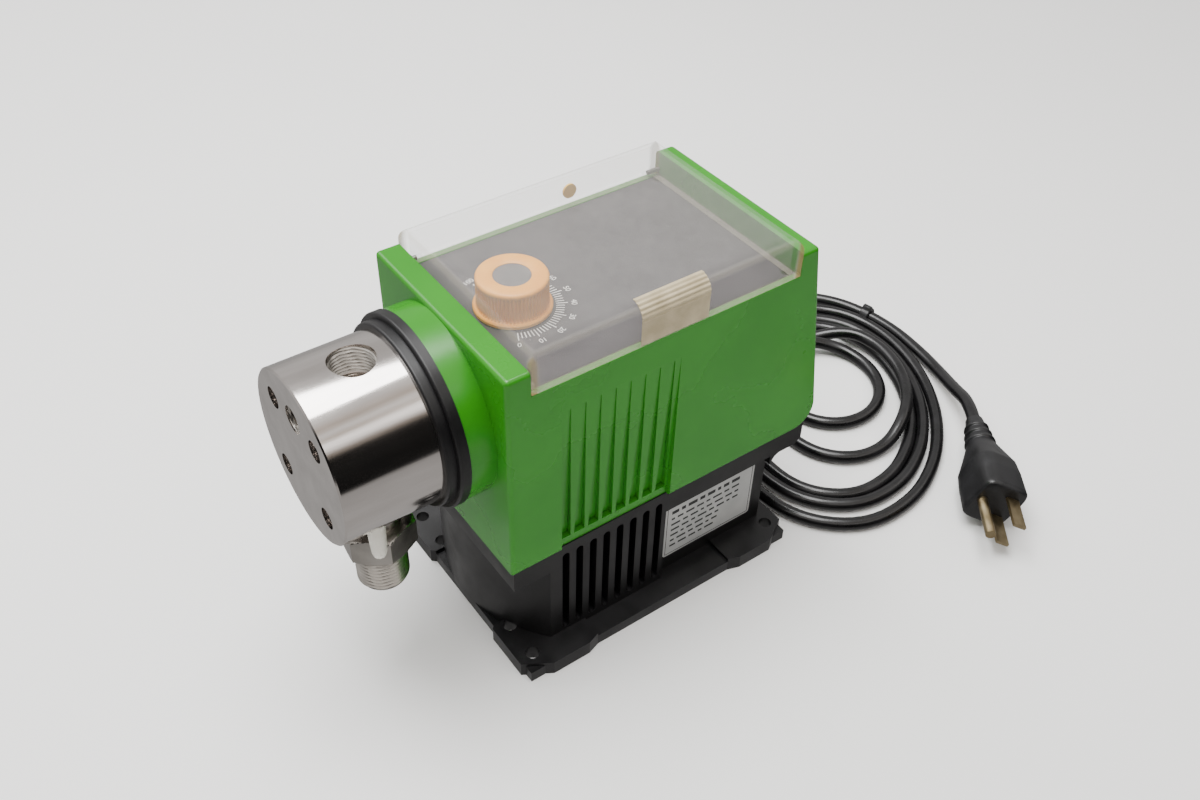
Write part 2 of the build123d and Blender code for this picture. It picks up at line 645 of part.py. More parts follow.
with BuildPart() as cover_plug:
    with BuildSketch(Plane.YZ.offset(-BODY_X + LID_WALL)):
        with Locations((14.5, LID_TOP - 9.5)):
            Circle(3.2)
    extrude(amount=0.8)
cover_plug.part.label = "cover_plug"
export_step(cover_plug.part, "parts/cover_plug.step")

with BuildPart() as hinge_pins:
    for end_y, way in ((OPEN_FRONT, 1), (OPEN_REAR, -1)):
        with BuildSketch(Plane.XZ.offset(-end_y + way * 4)):
            with Locations((PIN_X, PIN_Z)):
                Circle(LID_PIN_R)
        extrude(amount=-way * 10)
hinge_pins.part.label = "hinge_pins"
export_step(hinge_pins.part, "parts/hinge_pins.step")

# ---------------------------------------------------------------- pump head
with BuildPart() as support_ring:
    with BuildSketch(Plane.XZ.offset(-BOSS_FRONT)):
        with Locations((0, HEAD_Z)):
            Circle(RING_R)
    extrude(amount=BOSS_FRONT - RING_STEP_Y)
    with BuildSketch(Plane.XZ.offset(-RING_STEP_Y)):
        with Locations((0, HEAD_Z)):
            Circle(RING_STEP_R)
    extrude(amount=RING_STEP_Y - HEAD_REAR)
    fillet(support_ring.edges().filter_by(GeomType.CIRCLE).sort_by(Axis.Y)[:2], 1.0)
    with BuildSketch(Plane.XZ.offset(-HEAD_REAR)):
        with Locations((0, HEAD_Z)):
            Circle(MEMBRANE_R)
    extrude(amount=-MEMBRANE_T, mode=Mode.SUBTRACT)
    with BuildSketch(Plane.XZ.offset(-HEAD_REAR)):
        with Locations((0, HEAD_Z)):
            Circle(CORE_R + 1.5)
            with GridLocations(2 * SCREW_OFF, 2 * SCREW_OFF, 2, 2):
                Circle(SCREW_R + 0.25)
    extrude(amount=-20, mode=Mode.SUBTRACT)
support_ring.part.label = "support_ring"
export_step(support_ring.part, "parts/support_ring.step")

with BuildPart() as diaphragm:
    with BuildSketch(Plane.XZ.offset(-HEAD_REAR)):
        with Locations((0, HEAD_Z)):
            Circle(MEMBRANE_R)
    extrude(amount=-MEMBRANE_T)
diaphragm.part.label = "diaphragm"
export_step(diaphragm.part, "parts/diaphragm.step")

with BuildPart() as pump_head:
    with BuildSketch(Plane.XZ.offset(-HEAD_REAR)):
        with Locations((0, HEAD_Z)):
            Circle(HEAD_R)
    extrude(amount=HEAD_REAR - HEAD_FRONT)
    chamfer(pump_head.edges().sort_by(Axis.Y)[0], 0.6)
    # chamber behind, counterbored screw holes and the threaded blind port in front
    with BuildSketch(Plane.XZ.offset(-HEAD_REAR)):
        with Locations((0, HEAD_Z)):
            Circle(CHAMBER_R)
    extrude(amount=CHAMBER_DEPTH, mode=Mode.SUBTRACT)
    with BuildSketch(Plane.XZ.offset(-HEAD_FRONT)):
        with Locations((0, HEAD_Z)):
            with GridLocations(2 * SCREW_OFF, 2 * SCREW_OFF, 2, 2):
                Circle(SCREW_HEAD_R + 0.1)
    extrude(amount=-SCREW_SINK, mode=Mode.SUBTRACT)
    with BuildSketch(Plane.XZ.offset(-HEAD_FRONT)):
        with Locations((0, HEAD_Z)):
            with GridLocations(2 * SCREW_OFF, 2 * SCREW_OFF, 2, 2):
                Circle(SCREW_R + 0.25)
    extrude(amount=-(HEAD_REAR - HEAD_FRONT), mode=Mode.SUBTRACT)
    with BuildSketch(Plane.XZ.offset(-HEAD_FRONT)):
        with Locations((0, HEAD_Z + TEST_PORT_Z)):
            Circle(TEST_PORT_R)
    extrude(amount=-TEST_PORT_DEPTH, mode=Mode.SUBTRACT)
    # upper port with the discharge valve's bore under it
    for z0, z1, radius in ((PORT_Z, HEAD_Z + HEAD_R + 1, PORT_R), (DISCHARGE_Z, PORT_Z, VALVE_R),
                           (DISCHARGE_Z - VALVE_REACH, DISCHARGE_Z, PASSAGE_R),
                           (HEAD_BOTTOM - 1, SPOT_Z, SPOT_R), (SPOT_Z, SUCTION_Z, PORT_R),
                           (SUCTION_Z, SUCTION_Z + VALVE_H, VALVE_R),
                           (SUCTION_Z + VALVE_H, SUCTION_Z + VALVE_H + VALVE_REACH, PASSAGE_R)):
        with BuildSketch(Plane.XY.offset(z0)):
            with Locations((0, PORT_Y)):
                Circle(radius)
        extrude(amount=z1 - z0, mode=Mode.SUBTRACT)
    # passages from both valves to the chamber, and the drain nipple's hole
    with BuildSketch(Plane.XZ.offset(-PORT_Y)):
        with Locations((0, DISCHARGE_Z - VALVE_REACH / 2 - 0.3),
                       (0, SUCTION_Z + VALVE_H + VALVE_REACH / 2 + 0.3)):
            Circle(CROSS_R)
    extrude(amount=-(HEAD_REAR - CHAMBER_DEPTH - PORT_Y), mode=Mode.SUBTRACT)
    with BuildSketch(Plane.XY.offset(HEAD_BOTTOM - 1)):
        with Locations(NIPPLE_XY):
            Circle(NIPPLE_R + 0.2)
    extrude(amount=NIPPLE_TOP - HEAD_BOTTOM + 1, mode=Mode.SUBTRACT)
pump_head.part.label = "pump_head"
export_step(pump_head.part, "parts/pump_head.step")

with BuildPart() as head_screws:
    with BuildSketch(Plane.XZ.offset(-HEAD_FRONT - SCREW_SINK + SCREW_HEAD_H)):
        with Locations((0, HEAD_Z)):
            with GridLocations(2 * SCREW_OFF, 2 * SCREW_OFF, 2, 2):
                Circle(SCREW_HEAD_R)
    extrude(amount=-SCREW_HEAD_H)
    with BuildSketch(Plane.XZ.offset(-HEAD_FRONT - SCREW_SINK)):
        with Locations((0, HEAD_Z)):
            with GridLocations(2 * SCREW_OFF, 2 * SCREW_OFF, 2, 2):
                Circle(SCREW_R)
    extrude(amount=-(INNER_FRONT - 2 - HEAD_FRONT - SCREW_SINK))
    with BuildSketch(Plane.XZ.offset(-HEAD_FRONT - SCREW_SINK + SCREW_HEAD_H)):
        with Locations((0, HEAD_Z)):
            with GridLocations(2 * SCREW_OFF, 2 * SCREW_OFF, 2, 2):
                RegularPolygon(2.3, 6)
    extrude(amount=-2.5, mode=Mode.SUBTRACT)
head_screws.part.label = "head_screws"
export_step(head_screws.part, "parts/head_screws.step")

with BuildPart() as suction_fitting:
    with BuildSketch(Plane.XY.offset(HEX_TOP - HEX_H)):
        with Locations((0, PORT_Y)):
            RegularPolygon(HEX_AF / 2, 6, major_radius=False, rotation=23)
    extrude(amount=HEX_H)
    hex_rims = suction_fitting.edges().group_by(Axis.Z)
    chamfer(hex_rims[0] + hex_rims[-1], 0.8)
    for z0, z1, radius in ((HEX_TOP - HEX_H - THREAD_L, HEX_TOP - HEX_H, THREAD_R),
                           (HEX_TOP, SPOT_Z - SEAL_T, NECK_R), (SPOT_Z - SEAL_T, SUCTION_Z, PORT_R)):
        with BuildSketch(Plane.XY.offset(z0)):
            with Locations((0, PORT_Y)):
                Circle(radius)
        extrude(amount=z1 - z0)
    with BuildSketch(Plane.XY.offset(HEX_TOP - HEX_H - THREAD_L)):
        with Locations((0, PORT_Y)):
            Circle(FIT_BORE_R)
    extrude(amount=SUCTION_Z, mode=Mode.SUBTRACT)
suction_fitting.part.label = "suction_fitting"
export_step(suction_fitting.part, "parts/suction_fitting.step")

with BuildPart() as fitting_seal:
    with BuildSketch(Plane.XY.offset(SPOT_Z - SEAL_T)):
        with Locations((0, PORT_Y)):
            Circle(NECK_R)
            Circle(PORT_R, mode=Mode.SUBTRACT)
    extrude(amount=SEAL_T)
fitting_seal.part.label = "fitting_seal"
export_step(fitting_seal.part, "parts/fitting_seal.step")

for valve_z, side in ((SUCTION_Z, "suction"), (DISCHARGE_Z, "discharge")):
    with BuildPart() as valve_seat:
        with BuildSketch(Plane.XY.offset(valve_z)):
            with Locations((0, PORT_Y)):
                Circle(VALVE_R)
                Circle(SEAT_R, mode=Mode.SUBTRACT)
        extrude(amount=SEAT_H)
    valve_seat.part.label = side + "_seat"
    export_step(valve_seat.part, "parts/" + side + "_seat.step")

    with BuildPart() as valve_ball:
        with Locations((0, PORT_Y, valve_z + SEAT_H + sqrt(BALL_R ** 2 - SEAT_R ** 2) + RUN)):
            Sphere(BALL_R)
    valve_ball.part.label = side + "_ball"
    export_step(valve_ball.part, "parts/" + side + "_ball.step")

    with BuildPart() as valve_cage:
        with BuildSketch(Plane.XY.offset(valve_z + CAGE_UP)):
            with Locations((0, PORT_Y)):
                Circle(VALVE_R)
                Circle(SEAT_R, mode=Mode.SUBTRACT)
        extrude(amount=VALVE_H - CAGE_UP)
    valve_cage.part.label = side + "_cage"
    export_step(valve_cage.part, "parts/" + side + "_cage.step")

with BuildPart() as drain_nipple:
    nipple_line = Plane(origin=(*NIPPLE_XY, 0), x_dir=(1, 0, 0), z_dir=(0, -1, 0))
    with BuildSketch(nipple_line):
        with BuildLine():
            Polyline((1.5, NIPPLE_TIP), (NIPPLE_R - 0.9, NIPPLE_TIP), (NIPPLE_R - 0.4, NIPPLE_TIP + 2),
                     (NIPPLE_R, NIPPLE_TIP + 10), (NIPPLE_R, NIPPLE_TOP), (1.5, NIPPLE_TOP), close=True)
        make_face()
    revolve(axis=Axis((*NIPPLE_XY, 0), (0, 0, 1)))
drain_nipple.part.label = "drain_nipple"
export_step(drain_nipple.part, "parts/drain_nipple.step")

# ---------------------------------------------------------------- tappet
with BuildPart() as tappet_rod:
    with BuildSketch(Plane.XZ.offset(-CORE_BACK)):
        with Locations((0, HEAD_Z)):
            Circle(TAPPET_R)
    extrude(amount=-(TAPPET_STEP_Y - CORE_BACK))
    with BuildSketch(Plane.XZ.offset(-TAPPET_STEP_Y)):
        with Locations((0, HEAD_Z)):
            Circle(TAPPET_NOSE_R)
    extrude(amount=-(CONTACT_Y - NOSE_PAD - TAPPET_STEP_Y))
tappet_rod.part.label = "tappet_rod"
export_step(tappet_rod.part, "parts/tappet_rod.step")

with BuildPart() as tappet_pad:
    with BuildSketch(Plane.XZ.offset(-CONTACT_Y + NOSE_PAD)):
        with Locations((0, HEAD_Z)):
            Circle(TAPPET_NOSE_R)
    extrude(amount=-NOSE_PAD)
tappet_pad.part.label = "tappet_pad"
export_step(tappet_pad.part, "parts/tappet_pad.step")

with BuildPart() as diaphragm_core:
    with BuildSketch(Plane.XZ.offset(-CORE_BACK)):
        with Locations((0, HEAD_Z)):
            Circle(CORE_R)
    extrude(amount=CORE_T)
    fillet(diaphragm_core.edges().sort_by(Axis.Y)[0], 1.0)
diaphragm_core.part.label = "diaphragm_core"
export_step(diaphragm_core.part, "parts/diaphragm_core.step")

with BuildPart() as spring_collar:
    with BuildSketch(Plane.XZ.offset(-COLLAR_Y)):
        with Locations((0, HEAD_Z)):
            Circle(COLLAR_R)
            Circle(TAPPET_R, mode=Mode.SUBTRACT)
    extrude(amount=-COLLAR_T)
spring_collar.part.label = "spring_collar"
export_step(spring_collar.part, "parts/spring_collar.step")

with BuildPart() as tappet_guide:
    with BuildSketch(Plane.XZ.offset(-INNER_FRONT)):
        with Locations((0, HEAD_Z)):
            Circle(GUIDE_FLANGE_R)
    extrude(amount=-GUIDE_FLANGE_T)
    with BuildSketch(Plane.XZ.offset(-INNER_FRONT)):
        with Locations((0, HEAD_Z)):
            Circle(GUIDE_R)
    extrude(amount=-GUIDE_L)
    with BuildSketch(Plane.XZ.offset(-INNER_FRONT)):
        with Locations((0, HEAD_Z)):
            Circle(TAPPET_R + RUN)
    extrude(amount=-GUIDE_L, mode=Mode.SUBTRACT)
tappet_guide.part.label = "tappet_guide"
export_step(tappet_guide.part, "parts/tappet_guide.step")

with BuildPart() as return_spring:
    spring_y0 = INNER_FRONT + GUIDE_FLANGE_T + SPRING_WIRE_R + 0.1
    spring_y1 = COLLAR_Y - SPRING_WIRE_R - 0.1
    with BuildLine() as spring_path:
        Helix(pitch=(spring_y1 - spring_y0) / SPRING_TURNS, height=spring_y1 - spring_y0,
              radius=SPRING_R, center=(0, spring_y0, HEAD_Z), direction=(0, 1, 0))
    with BuildSketch(Plane(origin=spring_path.line @ 0, z_dir=spring_path.line % 0)):
        Circle(SPRING_WIRE_R)
    sweep(path=spring_path.line, is_frenet=True)
return_spring.part.label = "return_spring"
export_step(return_spring.part, "parts/return_spring.step")

# ---------------------------------------------------------------- motor and gear train
with BuildPart() as motor_stator:
    with BuildSketch(Plane.XY.offset(MOTOR_Z0)):
        with Locations((WHEEL_X, MOTOR_Y)):
            Circle(MOTOR_R)
            Circle(MOTOR_SHAFT_R + RUN, mode=Mode.SUBTRACT)
    extrude(amount=MOTOR_Z1 - MOTOR_Z0)
    with BuildSketch(Plane.XY.offset(MOTOR_Z0 + WALL)):
        with Locations((WHEEL_X, MOTOR_Y)):
            Circle(ROTOR_BORE_R)
    extrude(amount=MOTOR_Z1 - MOTOR_Z0 - 2 * WALL, mode=Mode.SUBTRACT)
    with BuildSketch(Plane.XY.offset(MOTOR_Z1)):
        with Locations((WHEEL_X, MOTOR_Y - MOTOR_SCREW_R), (WHEEL_X, MOTOR_Y + MOTOR_SCREW_R)):
            Circle(SMALL_SCREW_R)
    extrude(amount=-8, mode=Mode.SUBTRACT)
motor_stator.part.label = "motor_stator"
export_step(motor_stator.part, "parts/motor_stator.step")

with BuildPart() as motor_rotor:
    with BuildSketch(Plane.XY.offset(MOTOR_Z0 + WALL + 1)):
        with Locations((WHEEL_X, MOTOR_Y)):
            Circle(ROTOR_R)
            Circle(MOTOR_SHAFT_R, mode=Mode.SUBTRACT)
    extrude(amount=MOTOR_Z1 - MOTOR_Z0 - 2 * WALL - 2)
motor_rotor.part.label = "motor_rotor"
export_step(motor_rotor.part, "parts/motor_rotor.step")

with BuildPart() as worm_shaft:
    with BuildSketch(Plane.XY.offset(MOTOR_Z0 + 1)):
        with Locations((WHEEL_X, MOTOR_Y)):
            Circle(MOTOR_SHAFT_R)
    extrude(amount=BRIDGE_TOP - 1 - MOTOR_Z0)
worm_shaft.part.label = "worm_shaft"
export_step(worm_shaft.part, "parts/worm_shaft.step")

with BuildPart() as worm:
    thread_pitch = WORM_L / WORM_STARTS
    ridges = [(WORM_R - drop, HEAD_Z - WORM_L / 2 + thread_pitch * (turn + along))
              for turn in range(WORM_STARTS) for along, drop in ((0.15, 0), (0.5, 0), (0.65, 2), (1, 2))]
    with BuildSketch(Plane(origin=(WHEEL_X, MOTOR_Y, 0), x_dir=(1, 0, 0), z_dir=(0, -1, 0))):
        with BuildLine():
            Polyline((MOTOR_SHAFT_R, HEAD_Z - WORM_L / 2), (WORM_R - 2, HEAD_Z - WORM_L / 2), *ridges,
                     (MOTOR_SHAFT_R, HEAD_Z + WORM_L / 2), close=True)
        make_face()
    revolve(axis=Axis((WHEEL_X, MOTOR_Y, 0), (0, 0, 1)))
worm.part.label = "worm"
export_step(worm.part, "parts/worm.step")

with BuildPart() as gear_frame:
    with BuildSketch(Plane.XY.offset(FRAME_Z0)):
        with Locations((0, (FRAME_Y0 + FRAME_Y1) / 2)):
            Rectangle(2 * FRAME_HALF_W, FRAME_Y1 - FRAME_Y0)
    extrude(amount=FRAME_Z1 - FRAME_Z0)
    for cheek_x in (FRAME_X0, FRAME_X1):
        with BuildSketch(Plane.YZ.offset(cheek_x - CHEEK_W / 2)):
            with Locations(((CHEEK_Y0 + CHEEK_Y1) / 2, (FRAME_Z1 + CHEEK_TOP) / 2)):
                Rectangle(CHEEK_Y1 - CHEEK_Y0, CHEEK_TOP - FRAME_Z1)
        extrude(amount=CHEEK_W)
        with BuildSketch(Plane.YZ.offset(cheek_x - CHEEK_W / 2)):
            with Locations((CAM_Y, HEAD_Z)):
                Circle(BUSH_R)
        extrude(amount=CHEEK_W, mode=Mode.SUBTRACT)
    with BuildSketch(Plane.XY.offset(CHEEK_TOP)):
        with Locations(((FRAME_X0 + FRAME_X1) / 2, MOTOR_Y)):
            Rectangle(FRAME_X1 - FRAME_X0 + CHEEK_W, 2 * BRIDGE_HALF)
    extrude(amount=BRIDGE_TOP - CHEEK_TOP)
    with BuildSketch(Plane.XY.offset(CHEEK_TOP)):
        with Locations((WHEEL_X, MOTOR_Y)):
            Circle(MOTOR_SHAFT_R + RUN)
    extrude(amount=BRIDGE_TOP - CHEEK_TOP, mode=Mode.SUBTRACT)
    with BuildSketch(Plane.XY.offset(FRAME_Z0)):
        with Locations((WHEEL_X, MOTOR_Y)):
            Circle(2 * MOTOR_SHAFT_R)
        with Locations((WHEEL_X, MOTOR_Y - MOTOR_SCREW_R), (WHEEL_X, MOTOR_Y + MOTOR_SCREW_R), *POST_XY):
            Circle(SMALL_SCREW_R)
    extrude(amount=FRAME_Z1 - FRAME_Z0, mode=Mode.SUBTRACT)
gear_frame.part.label = "gear_frame"
export_step(gear_frame.part, "parts/gear_frame.step")

for screw_name, screw_places in (
        ("frame_screws", POST_XY),
        ("motor_screws", ((WHEEL_X, MOTOR_Y - MOTOR_SCREW_R), (WHEEL_X, MOTOR_Y + MOTOR_SCREW_R)))):
    with BuildPart() as small_screws:
        with BuildSketch(Plane.XY.offset(FRAME_Z1)):
            with Locations(*screw_places):
                Circle(3.4)
        extrude(amount=2.4)
        with BuildSketch(Plane.XY.offset(FRAME_Z1)):
            with Locations(*screw_places):
                Circle(SMALL_SCREW_R)
        extrude(amount=-10)
    small_screws.part.label = screw_name
    export_step(small_screws.part, "parts/" + screw_name + ".step")

with BuildPart() as shaft_bushes:
    for cheek_x in (FRAME_X0, FRAME_X1):
        with BuildSketch(Plane.YZ.offset(cheek_x - CHEEK_W / 2)):
            with Locations((CAM_Y, HEAD_Z)):
                Circle(BUSH_R)
                Circle(SHAFT_R + RUN, mode=Mode.SUBTRACT)
        extrude(amount=CHEEK_W)
shaft_bushes.part.label = "shaft_bushes"
export_step(shaft_bushes.part, "parts/shaft_bushes.step")

with BuildPart() as cam_shaft:
    with BuildSketch(Plane.YZ.offset(FRAME_X0 - CHEEK_W)):
        with Locations((CAM_Y, HEAD_Z)):
            Circle(SHAFT_R)
    extrude(amount=FRAME_X1 - FRAME_X0 + 2 * CHEEK_W)
cam_shaft.part.label = "cam_shaft"
export_step(cam_shaft.part, "parts/cam_shaft.step")

with BuildPart() as stroke_cam:
    # the radius grows evenly over half a turn and falls the same way over the other half
    rise = [(CAM_Y - (CAM_R0 + STROKE * k / 12) * cos(pi * k / 12),
             (CAM_R0 + STROKE * k / 12) * sin(pi * k / 12)) for k in range(13)]
    with BuildSketch(Plane.YZ.offset(-CAM_W / 2)):
        with BuildLine():
            Spline(*[(y, HEAD_Z + z) for y, z in rise])
            Spline(*[(y, HEAD_Z - z) for y, z in rise])
        make_face()
        with Locations((CAM_Y, HEAD_Z)):
            Circle(SHAFT_R, mode=Mode.SUBTRACT)
    extrude(amount=CAM_W)
stroke_cam.part.label = "stroke_cam"
export_step(stroke_cam.part, "parts/stroke_cam.step")

with BuildPart() as worm_wheel:
    with BuildSketch(Plane.YZ.offset(WHEEL_X - WHEEL_W / 2)):
        with Locations((CAM_Y, HEAD_Z)):
            Circle(WHEEL_R - TOOTH_DEPTH)
            with PolarLocations(WHEEL_R - TOOTH_DEPTH / 2 - 0.3, WHEEL_TEETH):
                Rectangle(TOOTH_DEPTH + 0.5, 1.3)
            Circle(SHAFT_R, mode=Mode.SUBTRACT)
    extrude(amount=WHEEL_W)
worm_wheel.part.label = "worm_wheel"
export_step(worm_wheel.part, "parts/worm_wheel.step")

# ---------------------------------------------------------------- mains lead
with BuildPart() as cord_gland:
    with BuildSketch(Plane(origin=(GLAND_X, 0, GLAND_Z), x_dir=(0, 1, 0), z_dir=(1, 0, 0))):
        with BuildLine():
            Polyline((BASE_REAR - WALL - 2, 0), (BASE_REAR - WALL - 2, GLAND_R + 2), (BASE_REAR - WALL, GLAND_R + 2),
                     (BASE_REAR - WALL, GLAND_R), (BASE_REAR, GLAND_R), (BASE_REAR, GLAND_R + 2),
                     (BASE_REAR + 2.5, GLAND_R + 2), (BASE_REAR + 2.5, GLAND_R),
                     (BASE_REAR + GLAND_OUT, CORD_R + 1), (BASE_REAR + GLAND_OUT, 0), close=True)
        make_face()
    revolve(axis=Axis((GLAND_X, 0, GLAND_Z), (0, 1, 0)))
cord_gland.part.label = "cord_gland"
export_step(cord_gland.part, "parts/cord_gland.step")

with BuildPart() as inner_wires:
    for wire_x in (GLAND_X - 3.0, GLAND_X, GLAND_X + 3.0):
        wire_points = [(wire_x, BASE_REAR - WALL - 2, GLAND_Z), (wire_x, BASE_REAR - WALL - 7, GLAND_Z),
                       (wire_x, BASE_REAR - WALL - 15, WALL + 9), (wire_x, 41, WALL + 9)]
        with BuildLine() as wire_line:
            FilletPolyline(*wire_points, radius=corner_radii(wire_points))
        with BuildSketch(Plane(origin=wire_line.line @ 0, z_dir=wire_line.line % 0)):
            Circle(1.1)
        sweep(path=wire_line.line)
inner_wires.part.label = "inner_wires"
export_step(inner_wires.part, "parts/inner_wires.step")

plug_axis = Vector(0.777, -0.63, 0).normalized()
plug_level = Vector(0.63, 0.777, 0).normalized()
plug_row = plug_level * cos(radians(PLUG_LEAN)) + Vector(0, 0, sin(radians(PLUG_LEAN)))
plug_face = Plane(origin=PLUG_FACE, x_dir=plug_row, z_dir=plug_axis)
plug_tail = plug_face.from_local_coords(Vector(0, PLUG_RISE, -PLUG_BODY_L - PLUG_RELIEF_L))

lead_points = [(-53, 219, 3.6), (-27, 224, 3.4), (-3, 221.5, 3.6), (17, 215.5, 5.5), (35, 206.5, 10.5),
               tuple(plug_tail - plug_axis * 14), tuple(plug_tail)]
gland_points = [(GLAND_X, BASE_REAR + GLAND_OUT, GLAND_Z), (-24.5, 108, 25), (-29, 122, 20), (-36, 136, 14),
                (-41.5, 151, 10.5)]
for cord_name, points in (("mains_cord", gland_points), ("cord_lead", lead_points)):
    radii = corner_radii(points)
    print(cord_name, "radii", [round(r, 1) for r in radii])
    with BuildPart() as cord_tube:
        with BuildLine() as cord_line:
            FilletPolyline(*points, radius=radii)
        with BuildSketch(Plane(origin=cord_line.line @ 0, z_dir=cord_line.line % 0)):
            Circle(CORD_R)
        sweep(path=cord_line.line)
    cord_length = sum(edge.length for edge in cord_line.edges())
    print(cord_name, "length", round(cord_length, 1), "volume over section times length",
          round(cord_tube.part.volume / (cord_length * pi * CORD_R ** 2), 4))
    cord_tube.part.label = cord_name
    export_step(cord_tube.part, "parts/" + cord_name + ".step")

with BuildPart() as cord_coil:
    with BuildSketch(Plane(origin=(*COIL_C, 0), x_dir=(cos(radians(COIL_TILT)), sin(radians(COIL_TILT)), 0))):
        Ellipse(COIL_A, COIL_B)
    extrude(amount=COIL_H)
    with BuildSketch():
        with Locations(COIL_HOLE_C):
            Circle(COIL_HOLE_R)
    extrude(amount=COIL_H, mode=Mode.SUBTRACT)
cord_coil.part.label = "cord_coil"
export_step(cord_coil.part, "parts/cord_coil.step")

with BuildPart() as cord_tie:
    with BuildSketch(Plane(origin=(-52, 208, COIL_H), x_dir=(1, 1, 0))):
        RectangleRounded(7, 26, 3)
    extrude(amount=2)
cord_tie.part.label = "cord_tie"
export_step(cord_tie.part, "parts/cord_tie.step")

with BuildPart() as plug_body:
    with BuildSketch(plug_face):
        with Locations((0, PLUG_RISE)):
            RectangleRounded(2 * PLUG_HALF_W, 2 * PLUG_HALF_H, PLUG_CORNER_R)
    extrude(amount=-PLUG_FULL_L)
    with BuildSketch(plug_face.offset(-PLUG_FULL_L)):
        with Locations((0, PLUG_RISE)):
            RectangleRounded(2 * PLUG_HALF_W, 2 * PLUG_HALF_H, PLUG_CORNER_R)
    with BuildSketch(plug_face.offset(-PLUG_BODY_L)):
        with Locations((0, PLUG_RISE)):
            Circle(PLUG_NECK_R)
    loft()
    with BuildSketch(plug_face.offset(-PLUG_BODY_L)):
        with Locations((0, PLUG_RISE)):
            Circle(PLUG_NECK_R)
    with BuildSketch(plug_face.offset(-PLUG_BODY_L - PLUG_RELIEF_L)):
        with Locations((0, PLUG_RISE)):
            Circle(CORD_R + 1)
    loft()
plug_body.part.label = "plug_body"
export_step(plug_body.part, "parts/plug_body.step")

with BuildPart() as plug_pins:
    with BuildSketch(plug_face):
        with GridLocations(2 * BLADE_X, 0, 2, 1):
            Rectangle(BLADE_T, BLADE_W)
    extrude(amount=BLADE_L)
    with BuildSketch(plug_face):
        with Locations((0, GROUND_Y)):
            Circle(GROUND_R)
    extrude(amount=GROUND_L)
plug_pins.part.label = "plug_pins"
export_step(plug_pins.part, "parts/plug_pins.step")
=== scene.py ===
"""Looks of a motor-driven diaphragm dosing pump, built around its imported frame.

Named lengths are millimetres in the frame of the part, unless a comment says metres; MM turns them into metres.
Order: dimensions, colour, camera and light, mesh makers, finishes, the detailed pieces, frame nodes, floor.
"""

import math

import bmesh
import bpy
import numpy as np
from mathutils import Matrix, Vector


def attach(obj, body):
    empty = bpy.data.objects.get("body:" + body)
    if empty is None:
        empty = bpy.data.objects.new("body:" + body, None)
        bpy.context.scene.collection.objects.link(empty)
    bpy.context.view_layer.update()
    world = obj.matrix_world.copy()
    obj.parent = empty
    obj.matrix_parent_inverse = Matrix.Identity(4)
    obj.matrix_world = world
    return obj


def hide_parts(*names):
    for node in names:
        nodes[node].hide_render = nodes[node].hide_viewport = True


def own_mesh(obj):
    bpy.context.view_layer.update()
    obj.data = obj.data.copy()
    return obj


MM = 0.001
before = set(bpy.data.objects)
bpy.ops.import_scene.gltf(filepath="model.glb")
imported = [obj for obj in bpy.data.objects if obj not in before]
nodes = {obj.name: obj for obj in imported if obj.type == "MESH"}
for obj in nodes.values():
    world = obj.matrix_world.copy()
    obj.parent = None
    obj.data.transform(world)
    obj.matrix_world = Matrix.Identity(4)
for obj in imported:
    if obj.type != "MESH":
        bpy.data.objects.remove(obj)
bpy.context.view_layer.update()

# ---------------------------------------------------------------- dimensions, mm
PORT_Y = -105.3              # vertical axis through the ports and the suction fitting
PORT_R, PORT_FLOOR, PORT_RIM = 8.75, 141.0, 152.9
FACE_PORT_R, FACE_PORT_Z = 5.4, 138.5
FACE_Y, FACE_PORT_FLOOR = -129.6, -117.6
THREAD_R, THREAD_LOW, THREAD_TOP = 10.67, 41.5, 61.5
HEX_ACROSS, HEX_TOP, HEX_TURN = 27.0, 74.5, math.radians(23)
NECK_R, NECK_TOP, SHANK_TOP, FITTING_BORE = 9.8, 86.3, 94.0, 5.0
KNOB_Y, KNOB_LOW, KNOB_TOP = -40.0, 149.3, 163.6
KNOB_R, SKIRT_R, SKIRT_H, RECESS_R, RECESS_H = 13.6, 14.9, 1.8, 7.1, 1.6
KNOB_BORE = 3.0
PANEL_TOP = 149.0
LID_X, LID_LOW_Y, LID_HIGH_Y, LID_LOW_Z, LID_TOP_Z = 46.0, -61.7, 61.2, 149.3, 166.9
LID_EDGE_R, GRIP_HALF_Y = 6.0, 15.5
LID_RIM = 0.2, 1.0           # heights above the cover's foot where its pale rim starts and ends
PLATE_X, PLATE_Y, PLATE_Z = 41.0, (7.75, 57.75), (14.3, 47.3)
CORD_R = 3.25
SKIN = 0.02                  # how far printed and lined pieces stand off the surface under them
PRINT_HALF = 0.03            # half thickness of the dial's print


# ---------------------------------------------------------------- colour
def srgb(red, green, blue):
    """Linear colour of a swatch given as three 0-255 values."""
    c = np.array([red, green, blue]) / 255
    linear = np.where(c <= 0.04045, c / 12.92, ((c + 0.055) / 1.055) ** 2.4)
    return (*linear.tolist(), 1.0)


# ---------------------------------------------------------------- camera and light
CAMERA_PLACE = (0.2998, -0.2222, 0.4183)     # metres
CAMERA_BACK, CAMERA_UP = (0.5955, -0.4441, 0.6694), (-0.554, 0.376, 0.743)
CAMERA_LENS, CAMERA_SENSOR, CAMERA_NEAR = 35.7, 36.0, 0.01

COOL, WARM = (1.0, 0.98, 0.96), (1.0, 0.87, 0.74)
